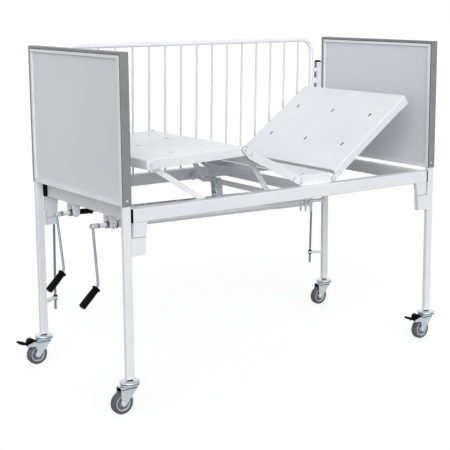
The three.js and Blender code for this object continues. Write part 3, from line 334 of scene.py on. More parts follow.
def capsule(x0, y0, x1, y1, half, steps=10):
    """The outline of a bar with round ends."""
    a = math.degrees(math.atan2(y1 - y0, x1 - x0))
    return polar(x0, y0, half, a + 90, a + 270, steps) + polar(x1, y1, half, a - 90, a + 90, steps)


def bend(points, reach, steps=5, closed=False):
    """Rounds the corners of a line over a set-back distance."""
    points = [Vector(p) for p in points]
    count = len(points)
    out = []
    for i, corner in enumerate(points):
        if not closed and i in (0, count - 1):
            out.append(corner)
            continue
        before = points[i - 1] - corner
        after = points[(i + 1) % count] - corner
        d = min(reach, before.length * 0.49, after.length * 0.49)
        a = corner + before.normalized() * d
        c = corner + after.normalized() * d
        for k in range(steps + 1):
            t = k / steps
            out.append(a * (1 - t) ** 2 + corner * (2 * t * (1 - t)) + c * t ** 2)
    return out


def box_outline(x0, x1, y0, y1, corner=0.0):
    points = [(x0, y0), (x1, y0), (x1, y1), (x0, y1)]
    return bend(points, corner, 4, True) if corner else points


def lathe(profile, sides=32):
    """A profile of radius and height turned about +Z; a closed profile gives a ring."""
    ring = tuple(profile[0]) == tuple(profile[-1])
    points = []
    rows = []
    for r, h in profile[:-1] if ring else profile:
        if r < SAME_POINT:
            rows.append([len(points)] * sides)
            points.append((0, 0, h))
            continue
        rows.append(list(range(len(points), len(points) + sides)))
        turns = [2 * math.pi * k / sides for k in range(sides)]
        points += [(r * math.cos(a), r * math.sin(a), h) for a in turns]
    faces = []
    for low, high in zip(rows, rows[1:] + rows[:1] if ring else rows[1:]):
        for k in range(sides):
            j = (k + 1) % sides
            face = list(dict.fromkeys((low[k], low[j], high[j], high[k])))
            if len(face) > 2:
                faces.append(face)
    if not ring:
        faces += [row for row in (rows[0], rows[-1]) if row[0] != row[1]]
    return points, faces


def tube(path, radius, sides=16, closed=False):
    """A round bar along a path."""
    path = [Vector(p) for p in path]
    count = len(path)
    ways = []
    for i in range(count):
        before = path[i] - path[i - 1] if closed or i > 0 else Vector()
        after = path[(i + 1) % count] - path[i] if closed or i < count - 1 else Vector()
        ways.append((before.normalized() + after.normalized()).normalized())
    side = ways[0].orthogonal().normalized()
    points = []
    for i, (place, way) in enumerate(zip(path, ways)):
        if i:
            side = ways[i - 1].rotation_difference(way) @ side
        other = way.cross(side)
        for k in range(sides):
            a = 2 * math.pi * k / sides
            points.append(place + side * radius * math.cos(a) + other * radius * math.sin(a))
    faces = []
    for i in range(count if closed else count - 1):
        here = i * sides
        there = ((i + 1) % count) * sides
        for k in range(sides):
            j = (k + 1) % sides
            faces.append((here + k, here + j, there + j, there + k))
    if not closed:
        faces += [list(range(sides)), list(range((count - 1) * sides, count * sides))]
    return points, faces


def prism(outline, low, high, holes=()):
    """A plan outline with holes, given thickness along Z."""
    loops = [[Vector((p[0], p[1], 0)) for p in loop] for loop in (outline, *holes)]
    flat = [p for loop in loops for p in loop]
    count = len(flat)
    points = [(p.x, p.y, low) for p in flat] + [(p.x, p.y, high) for p in flat]
    faces = []
    for triangle in tessellate_polygon(loops):
        faces.append(tuple(triangle))
        faces.append(tuple(i + count for i in triangle))
    start = 0
    for loop in loops:
        for k in range(len(loop)):
            a = start + k
            b = start + (k + 1) % len(loop)
            faces.append((a, b, b + count, a + count))
        start += len(loop)
    return points, faces


class Piece:
    """Shapes gathered into one object, each with its own material."""

    def __init__(self, name):
        self.name = name
        self.points = []
        self.faces = []
        self.kinds = []
        self.materials = []

    def add(self, shape, material, place=Matrix()):
        start = len(self.points)
        points, faces = shape
        self.points += [place @ Vector(p) for p in points]
        if material not in self.materials:
            self.materials.append(material)
        kind = self.materials.index(material)
        for face in faces:
            self.faces.append([start + i for i in face])
            self.kinds.append(kind)

    def add_plate(self, outline, side, near, far, material, place=Matrix()):
        """An upright plate along the cot, between two distances out from the middle."""
        low, high = sorted((side * near, side * far))
        self.add(prism(outline, low, high), material, place @ ON_SIDE)

    def finish(self, body, *replaced, edge=0.0, sheet=0.0, merge=False):
        mesh = bpy.data.meshes.new(self.name)
        mesh.from_pydata([at(*p) for p in self.points], [], self.faces)
        mesh.polygons.foreach_set("material_index", self.kinds)
        for material in self.materials:
            mesh.materials.append(material)
        work = bmesh.new()
        work.from_mesh(mesh)
        if merge:
            bmesh.ops.remove_doubles(work, verts=work.verts, dist=SAME_POINT)
        bmesh.ops.recalc_face_normals(work, faces=work.faces)
        work.to_mesh(mesh)
        work.free()
        mesh.shade_smooth()
        mesh.set_sharp_from_angle(angle=SHARP)
        obj = bpy.data.objects.new(self.name, mesh)
        bpy.context.scene.collection.objects.link(obj)
        if sheet:
            thick = obj.modifiers.new("sheet", "SOLIDIFY")
            thick.thickness = sheet * MM
            thick.offset = -1
            even_normals(obj, True)
        if edge:
            round_edges(obj, edge * MM, SHARP).use_clamp_overlap = False
        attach(obj, body)
        if replaced:
            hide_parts(*replaced)


# Casters: a name, the stem's place and whether it has a brake
WHEEL_R = 41
TRAIL = 34
STEM_X = LENGTH / 2 - 15
STEM_Y = WIDTH / 2 - 10
CASTERS = [
    ("foot_front", -STEM_X, -STEM_Y, False),
    ("foot_rear", -STEM_X, STEM_Y, True),
    ("head_front", STEM_X, -STEM_Y, True),
    ("head_rear", STEM_X, STEM_Y, False),
]
TYRE_HALF = [
    (41, 0), (41, 3.4), (40.2, 4.0), (40.2, 5.2), (41, 5.8), (40.7, 8.4), (39.4, 11.0), (36.8, 13.2),
    (33, 14), (29.8, 13.5), (29, 12.6),
]
RIM_RING = [
    (28.7, -12.4), (28.7, 12.4), (26.2, 13.2), (24.2, 12.2), (23.2, 8), (23.2, -8), (24.2, -12.2),
    (26.2, -13.2), (28.7, -12.4),
]
HUB_DISC = [(23.4, -6), (23.4, 6), (15, 8.5), (11, 8.5), (11, -8.5), (15, -8.5), (23.4, -6)]
HUB_BOSS = [(4.3, -13), (10, -13), (11.4, -12), (11.4, 12), (10, 13), (4.3, 13), (4.3, -13)]
HUB_RIB = box_outline(11, 23.3, -1.3, 1.3)
HUB_RIB_HALF = 10.5
HUB_RIBS = 6


def make_wheel(name, x, y):
    place = move(x - TRAIL, y, WHEEL_R) @ facing((0, 1, 0))
    tyre = Piece(f"wheel_tyre_{name}")
    rows = [(r, -h) for r, h in reversed(TYRE_HALF[1:])] + TYRE_HALF
    tyre.add(lathe(rows + rows[:1], 72), TYRE, place)
    tyre.finish(f"wheel_{name}", f"tyre_{name}")
    hub = Piece(f"wheel_hub_{name}")
    hub.add(lathe(RIM_RING, 48), RIM, place)
    hub.add(lathe(HUB_DISC, 48), HUB, place)
    hub.add(lathe(HUB_BOSS, 32), RIM, place)
    for k in range(HUB_RIBS):
        turned = place @ spin(360 / HUB_RIBS * k, "Z")
        hub.add(prism(HUB_RIB, -HUB_RIB_HALF, HUB_RIB_HALF), HUB, turned)
    hub.finish(f"wheel_{name}", f"hub_{name}", edge=0.3)


FORK_IN = 16
FORK_OUT = 18.8
FORK_FRONT = 22
FORK_BACK = -44
BRAKED_BACK = -38
FORK_SHOULDER = 90
PLATE_TOP = 94
CROWN_UNDER = 96.7
CROWN_TOP = 99.5
# Distances out of a thin black sheet of painted shade on the inner face of each fork plate, above the tyre
PAINTED_SHADE_SHEET = (FORK_IN - 0.8, FORK_IN - 0.05)
LEG_LOW = 121
FORK_NOSE = [
    *polar(-TRAIL, WHEEL_R, 11, 195, 335, 14), (20, FORK_SHOULDER), (FORK_FRONT, PLATE_TOP),
]
FORK_TAIL = [(FORK_BACK, PLATE_TOP), (-45, 80)]
BRAKE_BEAK = [
    (BRAKED_BACK, PLATE_TOP), (-51, 97), (-79, 89), (-78, 80), (-70, 79), (-48, 78), (-41, 66),
]
RACE_LOW = [(0, 98), (27, 98), (32.5, 99.4), (35.6, 102), (36, 105.6), (35, 106.4), (0, 106.4)]
# A black ring of painted shade in the gap between the lower and upper races
RACE_GAP_SHADE = [(0, 106), (32.6, 106), (32.6, 109.6), (0, 109.6)]
RACE_HIGH = [
    (0, 109.2), (35, 109.2), (36.3, 110), (36, 112.6), (33.6, 115.2), (29, 116.4), (15, 116.8), (0, 116.8),
]
STEM_PLUG = [(0, 116.9), (10.5, 116.9), (10.5, 119), (8.4, 119.4), (8.4, LEG_LOW), (0, LEG_LOW)]
AXLE_WASHER = [(0, 0), (8.6, 0), (8.6, 1.1), (7.6, 1.5), (0, 1.5)]
AXLE_HEAD = prism(hexagon(6.4), 1.5, 5.2)
PEDAL_PIN = (-46, 93)
PIN_HEAD = [(0, 0), (4, 0), (3.4, 1.4), (0, 2)]


def make_fork(name, x, y, braked):
    place = move(x, y, 0)
    fork = Piece(f"caster_fork_{name}")
    cheek = bend(FORK_NOSE + (BRAKE_BEAK if braked else FORK_TAIL), 4, 3, True)
    back = BRAKED_BACK if braked else FORK_BACK
    outer = [
        (-FORK_OUT, FORK_SHOULDER), (-FORK_OUT, CROWN_TOP), (FORK_OUT, CROWN_TOP), (FORK_OUT, FORK_SHOULDER),
    ]
    inner = [
        (FORK_IN, FORK_SHOULDER), (FORK_IN, CROWN_UNDER), (-FORK_IN, CROWN_UNDER), (-FORK_IN, FORK_SHOULDER),
    ]
    fork.add(prism(bend(outer, 6) + bend(inner, 3.5), back, FORK_FRONT), ZINC, place @ ON_END)
    # The black sheet of painted shade inside each fork plate
    shade = box_outline(back + 1, 14, 80, 95, 3)
    for side in SIDES:
        fork.add_plate(cheek, side, FORK_IN, FORK_OUT, ZINC, place)
        fork.add_plate(shade, side, *PAINTED_SHADE_SHEET, BLACK, place)
        bolt = place @ move(-TRAIL, side * FORK_OUT, WHEEL_R) @ facing((0, side, 0))
        fork.add(lathe(AXLE_WASHER, 28), PALE, bolt)
        fork.add(AXLE_HEAD, PALE, bolt)
        if braked:
            pin = place @ move(PEDAL_PIN[0], side * FORK_OUT, PEDAL_PIN[1]) @ facing((0, side, 0))
            fork.add(lathe(PIN_HEAD, 20), PALE, pin)
    fork.add(lathe(RACE_LOW, 48), ZINC, place)
    fork.add(lathe(RACE_GAP_SHADE, 40), BLACK, place)
    fork.add(lathe(RACE_HIGH, 48), ZINC, place)
    fork.finish(f"caster_{name}", f"fork_{name}", edge=0.5)
    stem = Piece(f"stem_plug_{name}")
    stem.add(lathe(STEM_PLUG, 28), BLACK, place)
    stem.finish("frame")


# Brake pedals, about the pin
LEVER_START = 20
LEVER_L = 64
LEVER_RISE = 15
LEVER_DROP = 7
LEVER_HALF = 4.6
PEDAL_TAB = bend([(-24, -8), (-33, -7), (-33, -17), (-26, -18)], 3, 3, True)
PEDAL_TAB_Y = (-9, -3)
TREAD_START = 44
TREAD_PITCH = 5
TREADS = 5
TREAD_HALF = 12.5


def lever_z(d):
    """The height of the pedal's lever above its pin, at a distance out from it."""
    return (d - LEVER_START) * LEVER_RISE / (LEVER_L - LEVER_START) - LEVER_DROP


def make_pedal(name, x, y):
    place = move(x + PEDAL_PIN[0], y, PEDAL_PIN[1]) @ ON_SIDE
    pedal = Piece(f"brake_pedal_{name}")
    lever = capsule(-LEVER_START, lever_z(LEVER_START), -LEVER_L, lever_z(LEVER_L), LEVER_HALF)
    for outline, half in ((lever, 14), (disc(0, 0, 9.6), 15), (disc(-14, 3, 15), 13)):
        pedal.add(prism(outline, -half, half), BLACK, place)
    pedal.add(prism(PEDAL_TAB, *PEDAL_TAB_Y), ZINC, place)
    for k in range(TREADS):
        d = TREAD_START + TREAD_PITCH * k
        tread = capsule(-d, lever_z(d) + 4.8, -d - 1.6, lever_z(d) + 5.2, 0.8, 4)
        pedal.add(prism(tread, -TREAD_HALF, TREAD_HALF), BLACK, place)
    pedal.finish(f"pedal_{name}", f"pedal_{name}", edge=1.0)


# Cranks, on screw shafts that slope down towards the head; lengths run along the shaft from the hinge
HINGE_X = -LENGTH / 2 - 13
DRIVE_Z = 643
DRIVE_TILT = 1.15
KNEE_Y = 134
BACK_Y = -150
SPINDLE_START = 12
SPINDLE_R = 8.5
SHAFT_START = 96
SCREW_R = 7
THREAD_PITCH = 4
THREAD_DEPTH = 0.9
# Each drive's name, place across, turn of the crank, tube radius and end, thread start and screw end
DRIVES = [
    ("knee", KNEE_Y, 15, SPINDLE_R, 152, 658, 901),
    ("back", BACK_Y, 10, 15.5, 851, 868, 1081),
]
CLEVIS = (6.5, 10.5)
CLEVIS_PLATE = capsule(0, 0, 18, 0, 9)
CLEVIS_HEAD = [(0, 0), (5, 0), (4.6, 1.4), (2.6, 2.2), (0, 2.4)]
COUPLING = prism(box_outline(13, 24, -10.5, 10.5, 2), -9, 9)
# A dark band of painted shade across the coupling, standing in for its shaded grooves
COUPLING_SHADE_BAND = prism(box_outline(18.4, 21, -10.8, 10.8, 1), -9.3, 9.3)
KNEE_SLEEVE = [
    (8.6, 90), (12, 90), (12, 93), (10.7, 94), (10.7, 144), (12.8, 145), (12.8, 149), (12, 150),
    (8.6, 150), (8.6, 90),
]
BACK_COLLAR = [(8.6, 90), (16.6, 90), (17, 91), (17, 95.4), (16.4, 96.2), (8.6, 96.2), (8.6, 90)]
CRANK_L = 215
CRANK_R = 4.7
CRANK_START = 6
CRANK_BEND = 16
CRANK_EYE = [(3.2, -5.6), (7.4, -5.6), (8.4, -4.4), (8.4, 4.4), (7.4, 5.6), (3.2, 5.6), (3.2, -5.6)]
GRIP_ANGLE = 42
GRIP_START = 10
GRIP_L = 88
GRIP_END_WALL = 8
GRIP_PROFILE = [
    (5.8, 0), (15.9, 0), (16.5, 0.7), (16.5, 4.2), (15.8, 5), (13, 6.4), (13, 14), (13.5, 30),
    (13.5, 84.6), (12.9, 86.8), (11.2, 88), (0, 88.4),
]


def drive_z(x):
    """The height of a screw shaft at a place along the cot."""
    return DRIVE_Z - (x - HINGE_X) * math.tan(math.radians(DRIVE_TILT))


def drive_hinge(y):
    """The frame of a crank's hinge, with the shaft along +X."""
    return move(HINGE_X, y, DRIVE_Z) @ spin(DRIVE_TILT, "Y")


def thread(first, last):
    """Ridges along a screw from one height to another."""
    root = SCREW_R - THREAD_DEPTH
    rows = []
    for h in range(first, last, THREAD_PITCH):
        rows += [(SCREW_R, h), (SCREW_R, h + 1.4), (root, h + 2.0), (root, h + 3.4)]
    return rows


def make_shaft(name, hinge, tube_r, tube_end, thread_start, screw_end):
    along = hinge @ facing((1, 0, 0))
    shaft = Piece(f"{name}_drive_shaft")
    outside = [
        (0, SPINDLE_START), (SPINDLE_R, SPINDLE_START), (SPINDLE_R, SHAFT_START),
        (tube_r - 0.8, SHAFT_START + 0.4), (tube_r, SHAFT_START + 1.2), (tube_r, tube_end - 1),
        (tube_r - 1, tube_end), (0, tube_end),
    ]
    shaft.add(lathe(outside, 28), WHITE, along)
    screw = [
        (SCREW_R, tube_end - 1), *thread(thread_start, screw_end - 6), (SCREW_R - 1, screw_end - 4),
        (SCREW_R - 3, screw_end), (0, screw_end),
    ]
    shaft.add(lathe(screw, 18), ZINC, along)
    for side in SIDES:
        shaft.add_plate(CLEVIS_PLATE, side, *CLEVIS, PALE, hinge)
        head = hinge @ move(0, side * CLEVIS[1], 0) @ facing((0, side, 0))
        shaft.add(lathe(CLEVIS_HEAD, 20), PALE, head)
    shaft.add(COUPLING, PALE, hinge)
    # The dark band of painted shade on the coupling
    shaft.add(COUPLING_SHADE_BAND, PAINTED_SHADE, hinge)
    nodes = [f"{name}_shaft"]
    if name == "knee":
        nodes.append("knee_sleeve")
        shaft.add(lathe(KNEE_SLEEVE, 28), BLACK, along)
    else:
        shaft.add(lathe(BACK_COLLAR, 28), BLACK, along)
    shaft.finish(f"{name}_screw", *nodes, edge=0.5)


def make_crank(name, y, turn, *shaft_sizes):
    hinge = drive_hinge(y) @ spin(-turn, "X")
    make_shaft(name, hinge, *shaft_sizes)
    droop = math.radians(GRIP_ANGLE)
    way = Vector((-math.cos(droop), 0, -math.sin(droop)))
    elbow = Vector((0, 0, -CRANK_L))
    arm = Piece(f"{name}_crank_arm")
    pin_end = elbow + way * (GRIP_START + GRIP_L - GRIP_END_WALL)
    path = bend([Vector((0, 0, -CRANK_START)), elbow, pin_end], CRANK_BEND, 8)
    arm.add(tube(path, CRANK_R, 18), STEEL, hinge)
    arm.add(lathe(CRANK_EYE, 28), STEEL, hinge @ facing((0, 1, 0)))
    arm.finish(f"{name}_arm", f"{name}_crank")
    grip = Piece(f"{name}_crank_grip")
    base = elbow + way * GRIP_START
    grip.add(lathe(GRIP_PROFILE, 36), BLACK, hinge @ Matrix.Translation(base) @ facing(way))
    grip.finish(f"{name}_handle", f"{name}_grip")


COVER_LOW = 838
COVER_HIGH = 941
COVER_NECK = 965.5
COVER_END = COVER_HIGH - 1.5
COVER_PROFILE = [
    (15.9, COVER_LOW), (16.8, COVER_LOW), (17, COVER_LOW + 0.6), (17, COVER_HIGH - 0.8), (16.2, COVER_HIGH),
    (10.5, COVER_HIGH), (10.5, COVER_NECK), (7.8, COVER_NECK), (7.8, COVER_END), (15.9, COVER_END),
    (15.9, COVER_LOW),
]


def make_cover():
    """The tube that slides with the back nut over the end of its shaft."""
    cover = Piece("back_screw_cover")
    cover.add(lathe(COVER_PROFILE, 28), WHITE, drive_hinge(BACK_Y) @ facing((1, 0, 0)))
    cover.finish("back_nut")


# Bearing brackets under the foot rail
BEARING_X = -LENGTH / 2 + 59
RAIL_Z = 680
RAIL_TOP = 728
RAIL_W = 40
BEARING_TOP = RAIL_Z - 0.3
BEARING_HALF = 16
BEARING_CHEEK = (20, 24)
BEARING_T = 4
BEARING_WASHER = [(0, 0), (9, 0), (8.6, 1.2), (0, 1.4)]
BEARING_HEAD = prism(hexagon(6.5), 1.4, 5.6)
BEARING_STUB = [(0, 0), (6, 0), (6, 10), (0, 10)]
BEARING_BUSH = [(9, -20), (12, -20), (13, -19), (13, 19), (12, 20), (9, 20), (9, -20)]


def make_bearing(name, y):
    place = move(BEARING_X, y, 0)
    bearing = Piece(f"{name}_bearing_bracket")
    z = drive_z(BEARING_X)
    cheek = [(-BEARING_HALF, BEARING_TOP), *polar(0, z, 14.5, 190, 350, 12), (BEARING_HALF, BEARING_TOP)]
    near, far = BEARING_CHEEK
    for side in SIDES:
        bearing.add_plate(cheek, side, near, far, WHITE, place)
        bolt = place @ move(0, side * far, z) @ facing((0, side, 0))
        bearing.add(lathe(BEARING_WASHER, 24), PALE, bolt)
        bearing.add(BEARING_HEAD, PALE, bolt)
        stub = place @ move(0, side * (near + 1), z) @ facing((0, -side, 0))
        bearing.add(lathe(BEARING_STUB, 20), WHITE, stub)
    plate = box_outline(-BEARING_HALF, BEARING_HALF, -far, far, 2)
    bearing.add(prism(plate, BEARING_TOP - BEARING_T, BEARING_TOP), WHITE, place)
    bearing.add(lathe(BEARING_BUSH, 28), STEEL, place @ move(0, 0, z) @ facing((1, 0, 0)))
    bearing.finish("frame", f"{name}_bearing", edge=0.7)


# Drop side, leaning outward at its foot
GUARD_X = (-LENGTH / 2 + 140, LENGTH / 2 - 98)
GUARD_Z = (700, 1258)
GUARD_R = 9.5
GUARD_CORNER = 60
GUARD_GAPS = 16
BAR_R = 4
BAR_WELD = [(0, -3), (5.6, -3), (5.2, -0.5), (4.2, 1.6), (0, 1.6)]
LEAN = math.tan(math.radians(2))
TILTED = facing((0, -LEAN, 1))
ROD_X = (-LENGTH / 2 + 89, LENGTH / 2 - 72)
ROD_LOW = 202
ROD_OUT = 11
EYE_Z = (760, 1070)
EYE_RING = [(5.6, -12), (8.2, -12), (9, -11.2), (9, 11.2), (8.2, 12), (5.6, 12), (5.6, -12)]
EYE_WEB_START = 7
EYE_WEB_HALF = 9
EYE_WEB_T = 3
LEG_EYE_Z = 250
POST_EYE_Z = 1118
ROD_BUSH = [(5.2, 4.2), (8.6, 4.2), (9, 4.8), (8.4, 8.4), (7.4, 9.4), (5.2, 9.4), (5.2, 4.2)]
ROD_STOP = [(0, -2), (4.6, -2), (5.6, -1), (5.6, 7), (5.2, 7.6), (0, 7.6)]


def guide_y(z):
    return WIDTH / 2 + ROD_OUT + (RAIL_TOP - z) * LEAN


def leaned(x, z):
    return x, guide_y(z), z


def tilted_at(x, z):
    """A frame on the drop side with +Z up along its lean."""
    return Matrix.Translation(leaned(x, z)) @ TILTED


def make_guard():
    guard = Piece("drop_side_guard")
    r = GUARD_CORNER
    left, right = GUARD_X
    low, high = GUARD_Z
    corners = [
        (left + r, high - r, 180), (right - r, high - r, 90),
        (right - r, low + r, 0), (left + r, low + r, -90),
    ]
    loop = [leaned(*p) for cx, cz, a in corners for p in polar(cx, cz, r, a, a - 90, 12)]
    guard.add(tube(loop, GUARD_R, 20, True), WHITE)
    pitch = (right - left) / GUARD_GAPS
    for i in range(1, GUARD_GAPS):
        x = left + pitch * i
        # The bars take the white darkened as painted shade
        guard.add(tube([leaned(x, low), leaned(x, high)], BAR_R, 14), SHADED_WHITE)
        guard.add(lathe(BAR_WELD, 14), WHITE, tilted_at(x, low + GUARD_R))
        guard.add(lathe(BAR_WELD, 14), WHITE, tilted_at(x, high - GUARD_R) @ spin(180, "X"))
    for rod_x, tube_x in zip(ROD_X, GUARD_X):
        near, far = sorted((rod_x, tube_x))
        for z in EYE_Z:
            guard.add(lathe(EYE_RING, 24), WHITE, tilted_at(rod_x, z))
            web = box_outline(near + EYE_WEB_START, far, z - EYE_WEB_HALF, z + EYE_WEB_HALF)
            y = guide_y(z)
            guard.add(prism(web, y - EYE_WEB_T, y + EYE_WEB_T), WHITE, ON_SIDE)
    guard.finish("drop_side", "guard", edge=0.4)


def make_rod_fittings():
    fittings = Piece("rod_fittings")
    for x in ROD_X:
        for z, material in ((LEG_EYE_Z, BLACK), (POST_EYE_Z, PALE)):
            for turn in (0, 180):
                fittings.add(lathe(ROD_BUSH, 24), material, tilted_at(x, z) @ spin(turn, "X"))
        fittings.add(lathe(ROD_STOP, 24), ROD, tilted_at(x, ROD_LOW))
    fittings.finish("frame")


# Folded sheet trays, each in its own frame with the hinge line at the origin
FLANGE_Y = WIDTH / 2 - 24
SHEET = 2
FOLD_R = 4.5
FOLD_STEPS = 5
CORNER_R = 9
CORNER_STEPS = 6
RUN_STEP = 30
LOW_PIVOT = 24
KNEE_PIVOT = 12
SEAT_X = 47
BACK_X = 218
HINGE_Z = 744
THIGH_L = 304
LEG_L = 419
BACK_L = 488
SEAT_L = BACK_X - SEAT_X
EDGE_CLEAR = 20
FLANGE_LOW = -11
KNEE_Z = LOW_PIVOT - KNEE_PIVOT
KNEE_X = -math.sqrt(THIGH_L ** 2 - KNEE_Z ** 2)
BACK_PLACE = move(BACK_X, 0, HINGE_Z) @ spin(-36, "Y")
THIGH_PLACE = move(SEAT_X, 0, HINGE_Z) @ spin(27, "Y")
SEAT_PLACE = move(SEAT_X, 0, HINGE_Z)
SHIN_PLACE = Matrix.Translation(THIGH_PLACE @ Vector((KNEE_X, 0, KNEE_Z))) @ spin(-2, "Y")


def steps_between(a, b):
    count = max(2, int(abs(b - a) / RUN_STEP))
    return [a + (b - a) * i / count for i in range(count + 1)]


def rim_path(x0, x1, walled):
    """Runs of the fold line with its outward way: along the sides and, where walled, the end."""
    half = FLANGE_Y - FOLD_R
    if not walled:
        return [[(x, side * half, 0, side) for x in steps_between(x0, x1)] for side in SIDES]
    way = math.copysign(1, x1 - x0)
    end = x1 - way * FOLD_R
    r = CORNER_R - FOLD_R
    run = [(x, -half, 0, -1) for x in steps_between(x0, end - way * r)]
    for k in range(1, CORNER_STEPS + 1):
        a = math.radians(90 / CORNER_STEPS * k)
        nx, ny = way * math.sin(a), -math.cos(a)
        run.append((end - way * r + r * nx, -half + r + r * ny, nx, ny))
    mirrored = [(x, -y, nx, -ny) for x, y, nx, ny in reversed(run)]
    return [run + mirrored]


SLOT_HALF = 5
SLOT_R = 4.8
SLOT_LIP_R = 0.7
SLOT_DEPTH = 8


def slot_outline(x, y, grow=0.0):
    return capsule(x - SLOT_HALF, y, x + SLOT_HALF, y, SLOT_R + grow, 8)


def add_slot_rims(piece, place, slots, top):
    """The raised lip round each vent slot, and a dark sleeve of painted shade inside it."""
    for x, y in slots:
        path = [(px, py, top + 0.1) for px, py in slot_outline(x, y, 0.9)]
        piece.add(tube(path, SLOT_LIP_R, 8, True), WHITE, place)
        # Painted shade: a dark sleeve down each slot's wall, so the slot reads dark instead of showing the
        # floor through it
        outer = slot_outline(x, y, -0.04)
        inner = slot_outline(x, y, -0.6)
        piece.add(prism(outer, top - SLOT_DEPTH, top - 0.1, [inner]), PAINTED_SHADE, place)


def make_tray(name, body, place, x0, x1, top, low, walled, slots):
    """A sheet with slots from x0 to x1, its rim folded down to a height given along it."""
    tray = Piece(f"{name}_sheet")
    runs = rim_path(x0, x1, walled)
    for run in runs:
        points = []
        for x, y, nx, ny in run:
            for k in range(FOLD_STEPS + 1):
                a = math.pi / 2 * k / FOLD_STEPS
                out = FOLD_R * math.sin(a)
                points.append((x + nx * out, y + ny * out, top - FOLD_R * (1 - math.cos(a))))
            points.append((x + nx * FOLD_R, y + ny * FOLD_R, low(x)))
        rows = FOLD_STEPS + 2
        faces = []
        for i in range(len(run) - 1):
            for k in range(rows - 1):
                a = i * rows + k
                faces.append((a, a + 1, a + rows + 1, a + rows))
        tray.add((points, faces), WHITE, place)
    if walled:
        rim = runs[0]
    else:
        rim = runs[0] + runs[1][::-1]
    loops = [[(x, y) for x, y, _, _ in rim]] + [slot_outline(x, y) for x, y in slots]
    flat = [Vector((p[0], p[1], top)) for loop in loops for p in loop]
    triangles = tessellate_polygon([[Vector((p[0], p[1], 0)) for p in loop] for loop in loops])
    tray.add((flat, [tuple(t) for t in triangles]), WHITE, place)
    tray.finish(body, name, sheet=SHEET, merge=True)


# Hinge lugs of the trays, as distances out from the flange
LUG_R = 11.5
LUG_L = 48
LUG = (FLANGE_Y + 0.3, FLANGE_Y + 2.8)
# Distances out of a dark ring of painted shade behind each lug's round end, and of a grey line of painted
# shade at the crease of its root
LUG_SHADE_RING = (FLANGE_Y + 0.08, FLANGE_Y + 0.28)
LUG_CREASE_SHADE = (FLANGE_Y + 2.7, FLANGE_Y + 2.95)
INNER_LUG = (FLANGE_Y - SHEET + 0.3, FLANGE_Y - 0.3)
INNER_LUG_R = 11
INNER_LUG_L = 30
CREASE_FROM_END = 12
CREASE_HALF = 0.8
BOLT_WASHER = [(0, 0), (8, 0), (7.6, 1.0), (0, 1.2)]
BOLT_HEAD = prism(hexagon(5.8), 1.2, 4.4)
BOLT_TURN = 17
BOLT_END = [(0, 4), (3.4, 4), (3.0, 5.6), (0, 6)]


def add_bolt(piece, place, x, z, side, y):
    bolt = place @ move(x, side * y, z) @ facing((0, side, 0))
    piece.add(lathe(BOLT_WASHER, 24), PALE, bolt)
    piece.add(BOLT_HEAD, PALE, bolt @ spin(BOLT_TURN, "Z"))
    piece.add(lathe(BOLT_END, 16), PALE, bolt)


def add_lugs(piece, place, x, z, reach):
    """Round-ended outer lugs with a dark ring of painted shade round their end, a grey line of painted shade
    at the crease of their root and the hinge's hex bolts.
    """
    way = math.copysign(1, reach)
    # A dark ring of painted shade round the lug's end, and a grey line of painted shade at its crease
    shade_ring = capsule(x, z, x + way * 6, z, LUG_R + 1.8)
    root = x + reach - way * CREASE_FROM_END
    crease_shade = box_outline(root - CREASE_HALF, root + CREASE_HALF, z - LUG_R + 1, z + LUG_R - 1)
    lug = capsule(x, z, x + reach, z, LUG_R)
    for side in SIDES:
        piece.add_plate(shade_ring, side, *LUG_SHADE_RING, PAINTED_SHADE, place)
        piece.add_plate(crease_shade, side, *LUG_CREASE_SHADE, TRIM, place)
        piece.add_plate(lug, side, *LUG, WHITE, place)
        add_bolt(piece, place, x, z, side, LUG[1])


def add_inner_lugs(piece, place, x, reach, drop):
    lug = capsule(x, 0, x + reach, -drop, INNER_LUG_R)
    for side in SIDES:
        piece.add_plate(lug, side, *INNER_LUG, WHITE, place)


# Backrest
SLOTS_ACROSS = (-235, 0, 235)
BACK_SLOTS = [(x, y) for x in (165, 350) for y in SLOTS_ACROSS]
BACK_STEP = BACK_L - 62
BACK_END_LOW = -14
HEM_R = 6
HEM_HALF = FLANGE_Y - 2
APRON_HALF = 305
APRON_LOW = -6


def make_back_tray():
    make_tray("back_tray", "backrest", BACK_PLACE, EDGE_CLEAR, BACK_L, LOW_PIVOT,
              lambda x: BACK_END_LOW if x > BACK_STEP else FLANGE_LOW, True, BACK_SLOTS)
    fittings = Piece("back_tray_fittings")
    add_lugs(fittings, BACK_PLACE, 0, 0, LUG_L)
    hem_x = EDGE_CLEAR + HEM_R
    hem_z = LOW_PIVOT - HEM_R
    hem = [(hem_x, y, hem_z) for y in (-HEM_HALF, HEM_HALF)]
    fittings.add(tube(hem, HEM_R, 20), WHITE, BACK_PLACE)
    apron = box_outline(hem_x - 1, hem_x + 1, -APRON_HALF, APRON_HALF)
    fittings.add(prism(apron, APRON_LOW, hem_z), WHITE, BACK_PLACE)
    add_slot_rims(fittings, BACK_PLACE, BACK_SLOTS, LOW_PIVOT)
    fittings.finish("backrest", edge=0.5)


# Thigh tray, with the tracks of the roller arms
THIGH_SLOTS = [(KNEE_X / 2, y) for y in SLOTS_ACROSS]
THIGH_TAPER_X = KNEE_X + 34
THIGH_TAPER_L = 28
TRACK = bend([(-212, 21.8), (-206, 8), (-70, 8), (-64, 21.8)], 6, 4, True)
TRACK_WALLS = (-13, 11)
TRACK_T = 2
ARM_Y = WIDTH / 2 - 126


def thigh_low(x):
    """The flange's lower edge, which rises to the knee."""
    if x > THIGH_TAPER_X:
        return FLANGE_LOW
    return FLANGE_LOW - FLANGE_LOW * (THIGH_TAPER_X - x) / THIGH_TAPER_L


